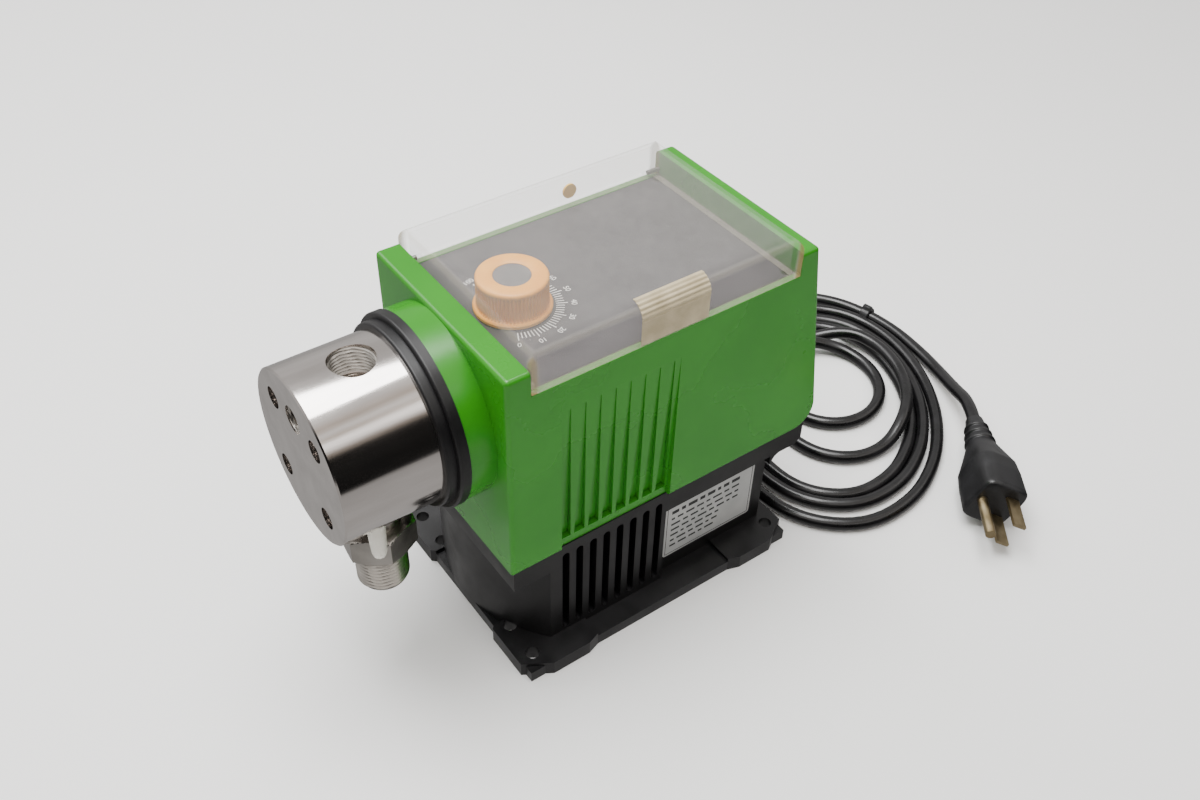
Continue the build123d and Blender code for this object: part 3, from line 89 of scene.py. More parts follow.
# (height from 0 straight down to 1 straight up, brightness, tone)
BELT_STOPS = (
    (0.0, 0.6, COOL), (0.35, 0.55, COOL), (0.385, 0.015, COOL), (0.74, 0.015, COOL),
    (0.785, 0.5, WARM), (0.835, 2.6, COOL), (0.855, 2.6, COOL), (0.88, 0.95, WARM),
    (0.91, 1.5, COOL), (0.94, 0.85, WARM), (0.97, 1.3, COOL), (1.0, 1.2, COOL),
)
PLAIN_STOPS = ((0.0, 0.52, COOL), (0.4, 0.52, COOL), (0.6, 0.8, COOL), (1.0, 0.75, COOL))
BELT_EDGE = -0.3, 0.1        # the belt fades in between these two x directions
SKY_STRENGTH = 0.85
LIGHT_AIM = (0, 0, 0.08)     # metres
# (name, place in metres, side in metres, watts)
PANELS = (("key_panel", (-0.15, -0.1, 1.2), 0.8, 24.0), ("back_panel", (-0.9, -0.25, 0.9), 0.6, 4.0))


def place_camera():
    """Camera looking back along its own axis; right is up cross back."""
    back = Vector(CAMERA_BACK).normalized()
    up = Vector(CAMERA_UP)
    up = (up - back * up.dot(back)).normalized()
    right = up.cross(back)
    lens = bpy.data.cameras.new("camera")
    lens.lens, lens.sensor_width, lens.clip_start = CAMERA_LENS, CAMERA_SENSOR, CAMERA_NEAR
    camera = bpy.data.objects.new("camera", lens)
    bpy.context.scene.collection.objects.link(camera)
    turn = Matrix((right, up, back)).transposed().to_4x4()
    camera.matrix_world = Matrix.Translation(Vector(CAMERA_PLACE)) @ turn
    bpy.context.scene.camera = camera


def colour_mix(tree):
    """A node that mixes two colours: the node, its two colour inputs and its output."""
    node = tree.nodes.new("ShaderNodeMix")
    node.data_type = "RGBA"
    colours = {socket.name: socket for socket in node.inputs if socket.type == "RGBA"}
    return node, colours["A"], colours["B"], [k for k in node.outputs if k.type == "RGBA"][0]


def studio_light():
    """Pale surroundings and soft panels. A dark belt above the horizon on the +x side gives polished
    metal its contrast; the camera itself sees plain white."""
    world = bpy.data.worlds.new("studio")
    bpy.context.scene.world = world
    world.use_nodes = True
    tree = world.node_tree
    tree.nodes.clear()
    place = tree.nodes.new("ShaderNodeTexCoord")
    split = tree.nodes.new("ShaderNodeSeparateXYZ")
    belt = tree.nodes.new("ShaderNodeValToRGB")
    rise = tree.nodes.new("ShaderNodeMapRange")
    rise.inputs["From Min"].default_value = -1.0
    plain = tree.nodes.new("ShaderNodeValToRGB")
    for node, levels in ((belt, BELT_STOPS), (plain, PLAIN_STOPS)):
        elements = node.color_ramp.elements
        while len(elements) < len(levels):
            elements.new(0.5)
        for element, (where, grey, tone) in zip(elements, levels):
            element.position, element.color = where, (*(grey * share for share in tone), 1)
    side = tree.nodes.new("ShaderNodeMapRange")
    side.interpolation_type = "SMOOTHSTEP"
    side.inputs["From Min"].default_value, side.inputs["From Max"].default_value = BELT_EDGE
    room, room_a, room_b, room_out = colour_mix(tree)
    seen = tree.nodes.new("ShaderNodeLightPath")
    pick, lit, pale, out = colour_mix(tree)
    pale.default_value = (1, 1, 1, 1)
    sky = tree.nodes.new("ShaderNodeBackground")
    sky.inputs["Strength"].default_value = SKY_STRENGTH
    end = tree.nodes.new("ShaderNodeOutputWorld")
    tree.links.new(place.outputs["Generated"], split.inputs[0])
    tree.links.new(split.outputs["Z"], rise.inputs["Value"])
    tree.links.new(rise.outputs["Result"], belt.inputs["Fac"])
    tree.links.new(rise.outputs["Result"], plain.inputs["Fac"])
    tree.links.new(split.outputs["X"], side.inputs["Value"])
    tree.links.new(side.outputs["Result"], room.inputs["Factor"])
    tree.links.new(plain.outputs["Color"], room_a)
    tree.links.new(belt.outputs["Color"], room_b)
    tree.links.new(room_out, lit)
    tree.links.new(seen.outputs["Is Camera Ray"], pick.inputs["Factor"])
    tree.links.new(out, sky.inputs["Color"])
    tree.links.new(sky.outputs["Background"], end.inputs["Surface"])
    for name, place_m, size, watts in PANELS:
        light = bpy.data.lights.new(name, "AREA")
        light.size, light.energy = size, watts
        lamp = bpy.data.objects.new(name, light)
        bpy.context.scene.collection.objects.link(lamp)
        aim = Vector(LIGHT_AIM) - Vector(place_m)
        turn = aim.to_track_quat("-Z", "Y").to_matrix().to_4x4()
        lamp.matrix_world = Matrix.Translation(Vector(place_m)) @ turn


# ---------------------------------------------------------------- mesh makers
SHARP_FROM = math.radians(38)
WELD = 1e-7                  # metres
CUBE_SIGNS = np.array([[x, y, z] for x in (-1, 1) for y in (-1, 1) for z in (-1, 1)])
CUBE_FACES = np.array([[0, 1, 3, 2], [4, 6, 7, 5], [0, 4, 5, 1], [2, 3, 7, 6], [0, 2, 6, 4], [1, 5, 7, 3]])


def finish_piece(name, mesh, material, body, smooth=True):
    """Weld, turn every face outwards, and hang the piece on its body."""
    b = bmesh.new()
    b.from_mesh(mesh)
    bmesh.ops.remove_doubles(b, verts=b.verts, dist=WELD)
    bmesh.ops.recalc_face_normals(b, faces=b.faces)
    b.to_mesh(mesh)
    b.free()
    mesh.polygons.foreach_set("use_smooth", np.full(len(mesh.polygons), smooth))
    mesh.materials.append(material)
    piece = bpy.data.objects.new(name, mesh)
    bpy.context.scene.collection.objects.link(piece)
    if smooth:
        mesh.set_sharp_from_angle(angle=SHARP_FROM)
    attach(piece, body)
    return piece


def skin_mesh(name, rings, closed_tube=False):
    """Quads between successive rings of points; rings is (rows, columns, 3) in mm.
    A closed tube joins its last ring to its first; otherwise each end ring gets a lid."""
    rows, columns = rings.shape[:2]
    row = np.arange(rows if closed_tube else rows - 1)[:, None]
    column = np.arange(columns)[None, :]
    after, beside = (row + 1) % rows, (column + 1) % columns
    quads = np.stack([row * columns + column, row * columns + beside,
                      after * columns + beside, after * columns + column], -1).reshape(-1, 4)
    faces = quads.tolist()
    if not closed_tube:
        faces += [list(range(columns)), list(range((rows - 1) * columns, rows * columns))]
    mesh = bpy.data.meshes.new(name)
    mesh.from_pydata((rings.reshape(-1, 3) * MM).tolist(), [], faces)
    return mesh


def blocks_mesh(name, corners):
    """Many six-sided blocks at once; corners is (blocks, 8, 3) in mm, in the order of CUBE_SIGNS."""
    faces = (np.arange(len(corners))[:, None, None] * 8 + CUBE_FACES[None]).reshape(-1, 4)
    mesh = bpy.data.meshes.new(name)
    mesh.from_pydata((corners.reshape(-1, 3) * MM).tolist(), [], faces.tolist())
    return mesh


def smooth_step(t):
    """0 below 0, 1 above 1, and three t squared less two t cubed between."""
    t = np.clip(t, 0, 1)
    return t * t * (3 - 2 * t)


# ---------------------------------------------------------------- finishes
FINE_RELIEF, COVER_RELIEF = 0.0001, 0.0003   # metres
COAT_ROUGH, COVER_IOR = 0.12, 1.49
CORNER_BAND = 6.0            # width of the worn band along the cover's edges


def start_finish(name):
    """A new material with its node tree and its surface."""
    material = bpy.data.materials.new(name)
    material.use_nodes = True
    tree = material.node_tree
    return material, tree, tree.nodes["Principled BSDF"]


def mottling(tree, scale, detail=4.0, stretch=(1, 1, 1)):
    """Noise in metres on the piece's own coordinates, stretched along an axis if asked."""
    place = tree.nodes.new("ShaderNodeTexCoord")
    size = tree.nodes.new("ShaderNodeMapping")
    size.inputs["Scale"].default_value = stretch
    cloud = tree.nodes.new("ShaderNodeTexNoise")
    cloud.inputs["Scale"].default_value = scale
    cloud.inputs["Detail"].default_value = detail
    tree.links.new(place.outputs["Object"], size.inputs["Vector"])
    tree.links.new(size.outputs["Vector"], cloud.inputs["Vector"])
    return cloud.outputs["Fac"]


def shades(tree, factor, stops):
    """Colour ramp through (position, colour) stops."""
    node = tree.nodes.new("ShaderNodeValToRGB")
    while len(node.color_ramp.elements) < len(stops):
        node.color_ramp.elements.new(0.5)
    for element, (where, colour) in zip(node.color_ramp.elements, stops):
        element.position, element.color = where, colour
    tree.links.new(factor, node.inputs["Fac"])
    return node.outputs["Color"]


def spread(tree, factor, low, high, start=0.3, end=0.7):
    """A factor mapped from start..end to low..high."""
    node = tree.nodes.new("ShaderNodeMapRange")
    for socket, value in (("From Min", start), ("From Max", end), ("To Min", low), ("To Max", high)):
        node.inputs[socket].default_value = value
    tree.links.new(factor, node.inputs["Value"])
    return node.outputs["Result"]


def relief(tree, surface, height, strength, depth):
    """Bumps on the surface from a height factor; depth is in metres."""
    node = tree.nodes.new("ShaderNodeBump")
    node.inputs["Strength"].default_value = strength
    node.inputs["Distance"].default_value = depth
    tree.links.new(height, node.inputs["Height"])
    tree.links.new(node.outputs["Normal"], surface.inputs["Normal"])


def combine(tree, operation, a, b, clamp=False):
    """The two factors put together by one arithmetic operation."""
    node = tree.nodes.new("ShaderNodeMath")
    node.operation, node.use_clamp = operation, clamp
    tree.links.new(a, node.inputs[0])
    tree.links.new(b, node.inputs[1])
    return node.outputs[0]


def finish(name, dark, light, rough, metallic=0.0, cloud=45.0, grain=900.0, dent=0.12,
           stretch=(1, 1, 1), coat=0.0, grain_stretch=(1, 1, 1)):
    """Two-tone mottled colour, roughness that wanders between two values, and fine relief."""
    material, tree, surface = start_finish(name)
    patch = mottling(tree, cloud, 5.0, stretch)
    fine = mottling(tree, grain, 3.0, grain_stretch)
    tree.links.new(shades(tree, patch, ((0.3, dark), (0.7, light))), surface.inputs["Base Color"])
    tree.links.new(spread(tree, patch, rough[0], rough[1]), surface.inputs["Roughness"])
    relief(tree, surface, fine, dent, FINE_RELIEF)
    surface.inputs["Metallic"].default_value = metallic
    if coat:
        surface.inputs["Coat Weight"].default_value = coat
        surface.inputs["Coat Roughness"].default_value = COAT_ROUGH
    return material


def corner_mask(tree):
    """1 near the cover's outer edges: products of the nearness to two of its outer planes.
    With it comes a second factor, 1 at the cover's foot."""
    place = tree.nodes.new("ShaderNodeTexCoord")
    split = tree.nodes.new("ShaderNodeSeparateXYZ")
    tree.links.new(place.outputs["Object"], split.inputs[0])

    def nearness(socket, middle, half):
        """0 inside the band, rising to 1 at the outer plane."""
        offset = tree.nodes.new("ShaderNodeMath")
        offset.operation = "SUBTRACT"
        offset.inputs[1].default_value = middle
        size = tree.nodes.new("ShaderNodeMath")
        size.operation = "ABSOLUTE"
        tree.links.new(socket, offset.inputs[0])
        tree.links.new(offset.outputs[0], size.inputs[0])
        return spread(tree, size.outputs[0], 0, 1, half - CORNER_BAND * MM, half)

    middle_y, half_y = (LID_LOW_Y + LID_HIGH_Y) / 2 * MM, (LID_HIGH_Y - LID_LOW_Y) / 2 * MM
    x = nearness(split.outputs["X"], 0, LID_X * MM)
    y = nearness(split.outputs["Y"], middle_y, half_y)
    z = spread(tree, split.outputs["Z"], 0, 1, (LID_TOP_Z - CORNER_BAND) * MM, LID_TOP_Z * MM)
    rim = spread(tree, split.outputs["Z"], 1, 0, (LID_LOW_Z + LID_RIM[0]) * MM, (LID_LOW_Z + LID_RIM[1]) * MM)
    edges = [combine(tree, "MULTIPLY", a, b) for a, b in ((x, y), (x, z), (y, z))]
    worn = combine(tree, "MAXIMUM", combine(tree, "MAXIMUM", edges[0], edges[1]), edges[2])
    return spread(tree, worn, 0, 1, 0.4, 0.68), rim


def clear_cover_finish():
    """Aged clear plastic: hazy and faintly grey, yellowed and scuffed at its edges, pale at its rim."""
    material, tree, surface = start_finish("aged_clear_plastic")
    edge, rim = corner_mask(tree)
    scuff = mottling(tree, 260.0, 6.0)
    tint, fresh, yellowed, colour = colour_mix(tree)
    aged = combine(tree, "MAXIMUM", edge, spread(tree, rim, 0.0, 0.45, 0.0, 1.0))
    tree.links.new(aged, tint.inputs["Factor"])
    tree.links.new(shades(tree, scuff, ((0.35, srgb(206, 204, 198)), (0.7, srgb(226, 224, 216)))), fresh)
    yellowed.default_value = srgb(168, 150, 98)
    tree.links.new(colour, surface.inputs["Base Color"])
    glance = tree.nodes.new("ShaderNodeLayerWeight")
    glance.inputs["Blend"].default_value = 0.35
    body = combine(tree, "ADD", spread(tree, glance.outputs["Facing"], 0.03, 0.17, 0.0, 1.0),
                   spread(tree, edge, 0.0, 0.42, 0.0, 1.0))
    total = combine(tree, "ADD", body, spread(tree, rim, 0.0, 0.22, 0.0, 1.0), clamp=True)
    tree.links.new(total, surface.inputs["Alpha"])
    tree.links.new(spread(tree, scuff, 0.07, 0.2), surface.inputs["Roughness"])
    surface.inputs["IOR"].default_value = COVER_IOR
    relief(tree, surface, mottling(tree, 60.0, 2.0), 0.08, COVER_RELIEF)
    return material


GREEN = finish("green_gloss_plastic", srgb(38, 124, 18), srgb(48, 138, 26),
               (0.25, 0.29), cloud=18, grain=60, dent=0.02)
BLACK = finish("black_moulded_plastic", srgb(10, 10, 11), srgb(22, 21, 23),
               (0.3, 0.5), cloud=60, grain=1600, dent=0.3)
PANEL = finish("grey_deck_plastic", srgb(66, 62, 65), srgb(78, 74, 76),
               (0.45, 0.6), cloud=40, grain=2200, dent=0.35)
STEEL = finish("turned_stainless", srgb(196, 190, 186), srgb(222, 216, 212),
               (0.09, 0.17), 1.0, cloud=30, grain=1500, dent=0.06, stretch=(3, 0.5, 3), grain_stretch=(1, 0.08, 1))
FITTING_STEEL = finish("satin_stainless", srgb(160, 156, 150), srgb(204, 199, 192),
                       (0.26, 0.4), 1.0, cloud=70, grain=1800, dent=0.2)
SCREW_STEEL = finish("screw_steel", srgb(120, 118, 116), srgb(168, 165, 160),
                     (0.26, 0.42), 1.0, cloud=120, grain=2400, dent=0.15)
BRASS = finish("dull_brass", srgb(150, 132, 98), srgb(188, 172, 138),
               (0.28, 0.45), 1.0, cloud=140, grain=2000, dent=0.15)
BRONZE = finish("gear_bronze", srgb(150, 104, 58), srgb(186, 138, 84),
                (0.3, 0.45), 1.0, cloud=90, grain=1800, dent=0.15)
ALUMINIUM = finish("cast_aluminium", srgb(150, 152, 154), srgb(186, 188, 190),
                   (0.4, 0.55), 1.0, cloud=90, grain=900, dent=0.35)
COPPER = finish("winding_lacquer", srgb(120, 62, 30), srgb(168, 92, 46),
                (0.25, 0.4), 0.6, cloud=150, grain=2600, dent=0.3, grain_stretch=(1, 1, 6))
KNOB = finish("cream_orange_plastic", srgb(240, 156, 44), srgb(250, 178, 68),
              (0.32, 0.46), cloud=90, grain=1800, dent=0.12)
CAP = finish("grey_cap_plastic", srgb(96, 92, 92), srgb(112, 108, 106),
             (0.4, 0.55), cloud=120, grain=2200, dent=0.2)
YELLOW = finish("yellow_plug_plastic", srgb(246, 180, 40), srgb(255, 204, 70),
                (0.35, 0.5), cloud=160, grain=2000, dent=0.15)
NYLON = finish("translucent_nylon", srgb(206, 202, 190), srgb(226, 223, 214),
               (0.3, 0.45), cloud=120, grain=1800, dent=0.12)
WHITE = finish("white_sealing_plastic", srgb(214, 212, 206), srgb(232, 231, 226),
               (0.35, 0.5), cloud=100, grain=1500, dent=0.12)
RUBBER = finish("black_rubber", srgb(20, 20, 20), srgb(36, 35, 35),
                (0.55, 0.75), cloud=90, grain=1400, dent=0.35)
RUBBER_GLOSS = finish("black_moulded_vinyl", srgb(18, 18, 19), srgb(32, 32, 34),
                      (0.3, 0.48), cloud=90, grain=1300, dent=0.25)
VINYL = finish("black_vinyl_lead", srgb(8, 8, 9), srgb(18, 17, 19),
               (0.22, 0.36), cloud=110, grain=1500, dent=0.14, coat=0.2)
BOARD = finish("green_circuit_board", srgb(22, 74, 44), srgb(34, 98, 58),
               (0.3, 0.45), cloud=160, grain=2600, dent=0.3)
CERAMIC = finish("component_bodies", srgb(52, 50, 54), srgb(96, 88, 74),
                 (0.4, 0.6), cloud=420, grain=2200, dent=0.2)
CAN = finish("capacitor_sleeve", srgb(30, 46, 84), srgb(40, 60, 104),
             (0.3, 0.45), cloud=120, grain=2000, dent=0.12)
LABEL = finish("silver_label", srgb(176, 177, 176), srgb(200, 200, 198),
               (0.34, 0.48), 0.35, cloud=60, grain=1800, dent=0.1)
INK = finish("black_ink", srgb(28, 28, 30), srgb(48, 48, 50),
             (0.5, 0.7), cloud=300, grain=2000, dent=0.05)
DIAL_WHITE = finish("white_dial_print", srgb(214, 212, 208), srgb(236, 235, 230),
                    (0.5, 0.65), cloud=300, grain=2000, dent=0.05)
GRIP = finish("beige_grip_film", srgb(168, 154, 122), srgb(196, 182, 150),
              (0.4, 0.6), cloud=140, grain=2200, dent=0.25, grain_stretch=(1, 0.1, 1))
FLOOR = finish("pale_floor", srgb(248, 248, 247), srgb(251, 251, 250),
               (0.6, 0.75), cloud=3, grain=300, dent=0.02)
CLEAR = clear_cover_finish()

# ---------------------------------------------------------------- mains lead
GLAND_RUN = ((-24, 92.5, 26), (-24.5, 108, 25), (-29, 122, 20), (-36, 136, 14), (-41.5, 151, 10.5))
LEAD_RUN = ((-70, 209, 3.3), (-53, 219, 3.6), (-27, 224, 3.4), (-3, 221.5, 3.6), (17, 215.5, 5.5),
            (35, 206.5, 10.5))
# (centre, half length, half width) of each turn
COIL_TURNS = (((-12, 160), 31, 28.5), ((-4, 158), 49, 37), ((-1.5, 147.5), 68, 45),
              ((-1.5, 147.5), 74.5, 51.5), ((0, 147), 86, 58), ((-1, 150), 93, 63))
COIL_TILT = -40.0
COIL_STEP = 22.5             # degrees between points, sixteen to a turn
COIL_START, TURN_HIGH, TURN_LOW, BLEND_FROM = 200.0, 150.0, -210.0, -130.0
REST_Z, ENTRY_Z, CROSS_RISE = 3.3, 10.5, 6.5
CROSS_FROM, CROSS_TO, CROSS_EASE, ENTRY_END = 150, -10, 25, 90   # degrees
PLUG_FACE = np.array([107, 158, 14.0])
PLUG_WAY_X, PLUG_WAY_Y, PLUG_ROLL = 0.777, 0.63, math.radians(67.5)
PLUG_AXIS = np.array([PLUG_WAY_X, -PLUG_WAY_Y, 0]) / math.hypot(PLUG_WAY_X, PLUG_WAY_Y)
PLUG_LEVEL = np.array([PLUG_WAY_Y, PLUG_WAY_X, 0]) / math.hypot(PLUG_WAY_X, PLUG_WAY_Y)
PLUG_ROW = PLUG_LEVEL * math.cos(PLUG_ROLL) + np.array([0, 0, math.sin(PLUG_ROLL)])
PLUG_SIDE = np.cross(PLUG_AXIS, PLUG_ROW)
PLUG_OFFSET, PLUG_LONG, LEAD_STRAIGHT = 4.7, 57.0, 14
PLUG_STATIONS = (0, 0.5, 1.4, 14, 22, 30, 38, 57)                 # behind the plug's face
PLUG_WIDE = (11.7, 12.3, 12.7, 12.7, 12.2, 9.6, 7.0, 4.3)         # half sizes there
PLUG_DEEP = (10.5, 11.1, 11.5, 11.5, 11.0, 8.8, 6.8, 4.3)
PLUG_RIBS, RIB_HALF, RIB_RISE = (40.5, 45.5, 50.5), 1.05, 0.9
TIE_NEAR, TIE_LOWEST = (-45, 221), 0.04
TIE_HALF, TIE_EDGE, TIE_R, TIE_EDGE_R, TIE_GAP = 2.6, 2.2, 4.9, 4.5, 0.06


def ellipse_point(turn, degrees):
    """Point of a tilted ellipse in the direction given from its centre."""
    (x, y), a, b = turn
    across = np.radians(degrees - COIL_TILT)
    radius = a * b / np.sqrt((b * np.cos(across)) ** 2 + (a * np.sin(across)) ** 2)
    way = np.radians(degrees)
    return np.stack([x + radius * np.cos(way), y + radius * np.sin(way)], -1)


def coil_points():
    """Loose turns, each an ellipse that slides into the next one on the far left side.
    The first comes down from the entry, and the second rises over the third where they cross."""
    runs = []
    for i in range(len(COIL_TURNS) - 1):
        start = (COIL_START if i == 0 else TURN_HIGH) - COIL_STEP
        degrees = np.arange(start, TURN_LOW - 1, -COIL_STEP)
        share = smooth_step((BLEND_FROM - degrees) / (BLEND_FROM - TURN_LOW))[:, None]
        here, there = (ellipse_point(turn, degrees) for turn in COIL_TURNS[i:i + 2])
        flat = (1 - share) * here + share * there
        height = np.full(len(degrees), REST_Z)
        if i == 0:
            height += (ENTRY_Z - REST_Z) * smooth_step((degrees - ENTRY_END) / (COIL_START - ENTRY_END))
        if i == 1:
            height += (CROSS_RISE * smooth_step((CROSS_FROM - degrees) / CROSS_EASE)
                       * smooth_step((degrees - CROSS_TO) / CROSS_EASE))
        runs.append(np.column_stack([flat, height]))
    return np.concatenate(runs)


def plug_tail(back):
    """Point on the plug's own axis, that far behind its face."""
    return PLUG_FACE + PLUG_OFFSET * PLUG_SIDE - back * PLUG_AXIS


def make_lead():
    """The lead as one open curve from the gland to the plug, and the points along its middle in mm."""
    tail = plug_tail(PLUG_LONG)
    points = np.concatenate([np.array(GLAND_RUN, float), coil_points(), np.array(LEAD_RUN, float),
                             [tail - LEAD_STRAIGHT * PLUG_AXIS, tail]]) * MM
    line = bpy.data.curves.new("mains_lead", "CURVE")
    line.dimensions = "3D"
    line.resolution_u = 6
    spline = line.splines.new("NURBS")
    spline.points.add(len(points) - 1)
    spline.points.foreach_set("co", np.column_stack([points, np.ones(len(points))]).ravel())
    spline.order_u = 3
    spline.use_endpoint_u = True
    lead = bpy.data.objects.new("mains_lead", line)
    bpy.context.scene.collection.objects.link(lead)
    bare = bpy.data.meshes.new_from_object(lead)
    path = np.empty(len(bare.vertices) * 3)
    bare.vertices.foreach_get("co", path)
    bpy.data.meshes.remove(bare)
    line.bevel_depth = CORD_R * MM
    line.bevel_resolution = 5
    line.use_fill_caps = True
    line.materials.append(VINYL)
    return lead, path.reshape(-1, 3) / MM


def make_plug():
    """Moulded plug: rounded-rectangle sections on its axis, slimming to a ribbed tail.
    A section is a superellipse whose power falls from 5 at the face to 2 at the tail."""
    back = np.concatenate([PLUG_STATIONS[:3], np.linspace(3, 36, 34), np.linspace(36.4, 56.2, 100), [PLUG_LONG]])
    wide = np.interp(back, PLUG_STATIONS, PLUG_WIDE)
    deep = np.interp(back, PLUG_STATIONS, PLUG_DEEP)
    rib = sum(np.exp(-(((back - centre) / RIB_HALF) ** 4)) for centre in PLUG_RIBS)
    power = np.interp(back, (0, 22, 40, 57), (5, 4, 2.1, 2))[:, None]
    angle = np.linspace(0, 2 * np.pi, 64, endpoint=False)[None, :]
    cosine, sine = np.cos(angle), np.sin(angle)
    u = (wide + rib * RIB_RISE)[:, None] * np.sign(cosine) * np.abs(cosine) ** (2 / power)
    v = (deep + rib * RIB_RISE)[:, None] * np.sign(sine) * np.abs(sine) ** (2 / power)
    rings = (PLUG_FACE - back[:, None, None] * PLUG_AXIS + u[..., None] * PLUG_ROW
             + (PLUG_OFFSET + v)[..., None] * PLUG_SIDE)
    return finish_piece("plug_moulding", skin_mesh("plug_moulding", rings), RUBBER_GLOSS, "root")


def make_tie(path):
    """Band round the lead: a ring section swept about the lead's direction, flat where it meets the floor.
    Its lug is a bump of exp(-x^4) in the angle on top."""
    near = int(np.argmin(np.hypot(path[:, 0] - TIE_NEAR[0], path[:, 1] - TIE_NEAR[1])))
    centre = path[near]
    along = path[near + 2] - path[near - 2]
    along = along / np.linalg.norm(along)
    across = np.cross([0, 0, 1.0], along)
    across /= np.linalg.norm(across)
    up = np.cross(along, across)
    shift = np.array([-TIE_HALF, -TIE_EDGE, TIE_EDGE, TIE_HALF, TIE_HALF, -TIE_HALF])
    radius = np.array([TIE_EDGE_R, TIE_R, TIE_R, TIE_EDGE_R, CORD_R + TIE_GAP, CORD_R + TIE_GAP])
    angle = np.linspace(0, 2 * np.pi, 48, endpoint=False)
    on_outside = np.where(radius > 4, 1.0, 0.0)[:, None]
    lug = on_outside * 1.6 * np.exp(-((((angle - np.pi / 2) / 0.3) ** 4)))[None]
    reach = radius[:, None] + lug
    rings = (centre + shift[:, None, None] * along + (reach * np.cos(angle))[..., None] * across
             + (reach * np.sin(angle))[..., None] * up)
    rings[..., 2] = np.maximum(rings[..., 2], TIE_LOWEST)
    return finish_piece("lead_tie_band", skin_mesh("lead_tie_band", rings, True), RUBBER_GLOSS, "root")


# ---------------------------------------------------------------- suction fitting and threads
def ridge(phase):
    """Thread form: 1 at the crest, 0 at the root, straight flanks with small flats."""
    wave = np.abs((phase % 1.0) * 2 - 1)
    return np.clip(1.25 * wave - 0.125, 0, 1)


def make_fitting():
    """Radius against turn and height: threaded end, hexagon cut by a cone at both ends, neck, shank, bore.
    Hexagon radius is half its width over the cosine of the angle from the nearest flat."""
    columns, pitch, depth = 144, 1.9, 1.1
    angle = HEX_TURN + np.linspace(0, 2 * np.pi, columns, endpoint=False)[None, :]
    z = np.linspace(THREAD_LOW, THREAD_TOP - 0.9, 92)[:, None]
    ease = smooth_step((z - THREAD_LOW) / 1.6) * smooth_step((THREAD_TOP - 0.9 - z) / 1.4)
    thread = THREAD_R - depth + depth * ease * ridge(z / pitch - angle / (2 * np.pi))
    steps = np.array([0, 0.3, 0.7, 1.2, 1.8])
    z_hex = np.concatenate([THREAD_TOP + steps, (HEX_TOP - steps)[::-1]])[:, None]
    flat = (angle - HEX_TURN + math.pi / 6) % (math.pi / 3) - math.pi / 6
    cone = HEX_ACROSS / 2 + 0.05 + math.sqrt(3) * np.minimum(z_hex - THREAD_TOP, HEX_TOP - z_hex)
    hexagon = np.minimum(HEX_ACROSS / 2 / np.cos(flat), cone)
    plain = [(THREAD_TOP - 0.5, THREAD_R - depth), (THREAD_TOP, THREAD_R - depth)]
    upper = [(HEX_TOP, NECK_R), (NECK_TOP - 0.5, NECK_R), (NECK_TOP, NECK_R - 0.3), (NECK_TOP, PORT_R - 0.05),
             (SHANK_TOP, PORT_R - 0.05), (SHANK_TOP, FITTING_BORE), (THREAD_LOW, FITTING_BORE)]

    def rows(pairs):
        """Radii and heights of plain rings, from (height, radius) pairs."""
        heights = np.array([p[0] for p in pairs])
        radii = np.array([p[1] for p in pairs])
        return np.broadcast_to(radii[:, None], (len(pairs), columns)), heights[:, None]

    plain_r, plain_z = rows(plain)
    upper_r, upper_z = rows(upper)
    radius = np.concatenate([thread, plain_r, hexagon, upper_r])
    height = np.concatenate([z, plain_z, z_hex, upper_z])
    rings = np.stack([radius * np.cos(angle), PORT_Y + radius * np.sin(angle),
                      np.broadcast_to(height, radius.shape)], -1)
    mesh = skin_mesh("threaded_fitting", rings, True)
    piece = finish_piece("threaded_fitting", mesh, FITTING_STEEL, "root")
    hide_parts("suction_fitting")


def thread_lining(name, radius, pitch, depth, low, high, to_place):
    """Cut thread in a bore: a tube whose inner wall is the bore radius less the thread form.
    to_place turns two coordinates across the bore and one along it into the frame's x, y and z."""
    rows = np.linspace(low, high, int((high - low) / pitch * 10))
    columns = 96
    angle = np.linspace(0, 2 * np.pi, columns, endpoint=False)[None, :]
    ease = smooth_step((rows[:, None] - low) / 0.6) * smooth_step((high - rows[:, None]) / 1.2)
    inner = radius - SKIN - depth * ease * ridge(rows[:, None] / pitch - angle / (2 * np.pi))
    outer = np.full((2, columns), radius + 0.05)
    reach = np.concatenate([inner, outer])
    along = np.broadcast_to(np.concatenate([rows, [high, low]])[:, None], reach.shape)
    rings = to_place(reach * np.cos(angle), reach * np.sin(angle), along)
    finish_piece(name, skin_mesh(name, rings, True), FITTING_STEEL, "root")


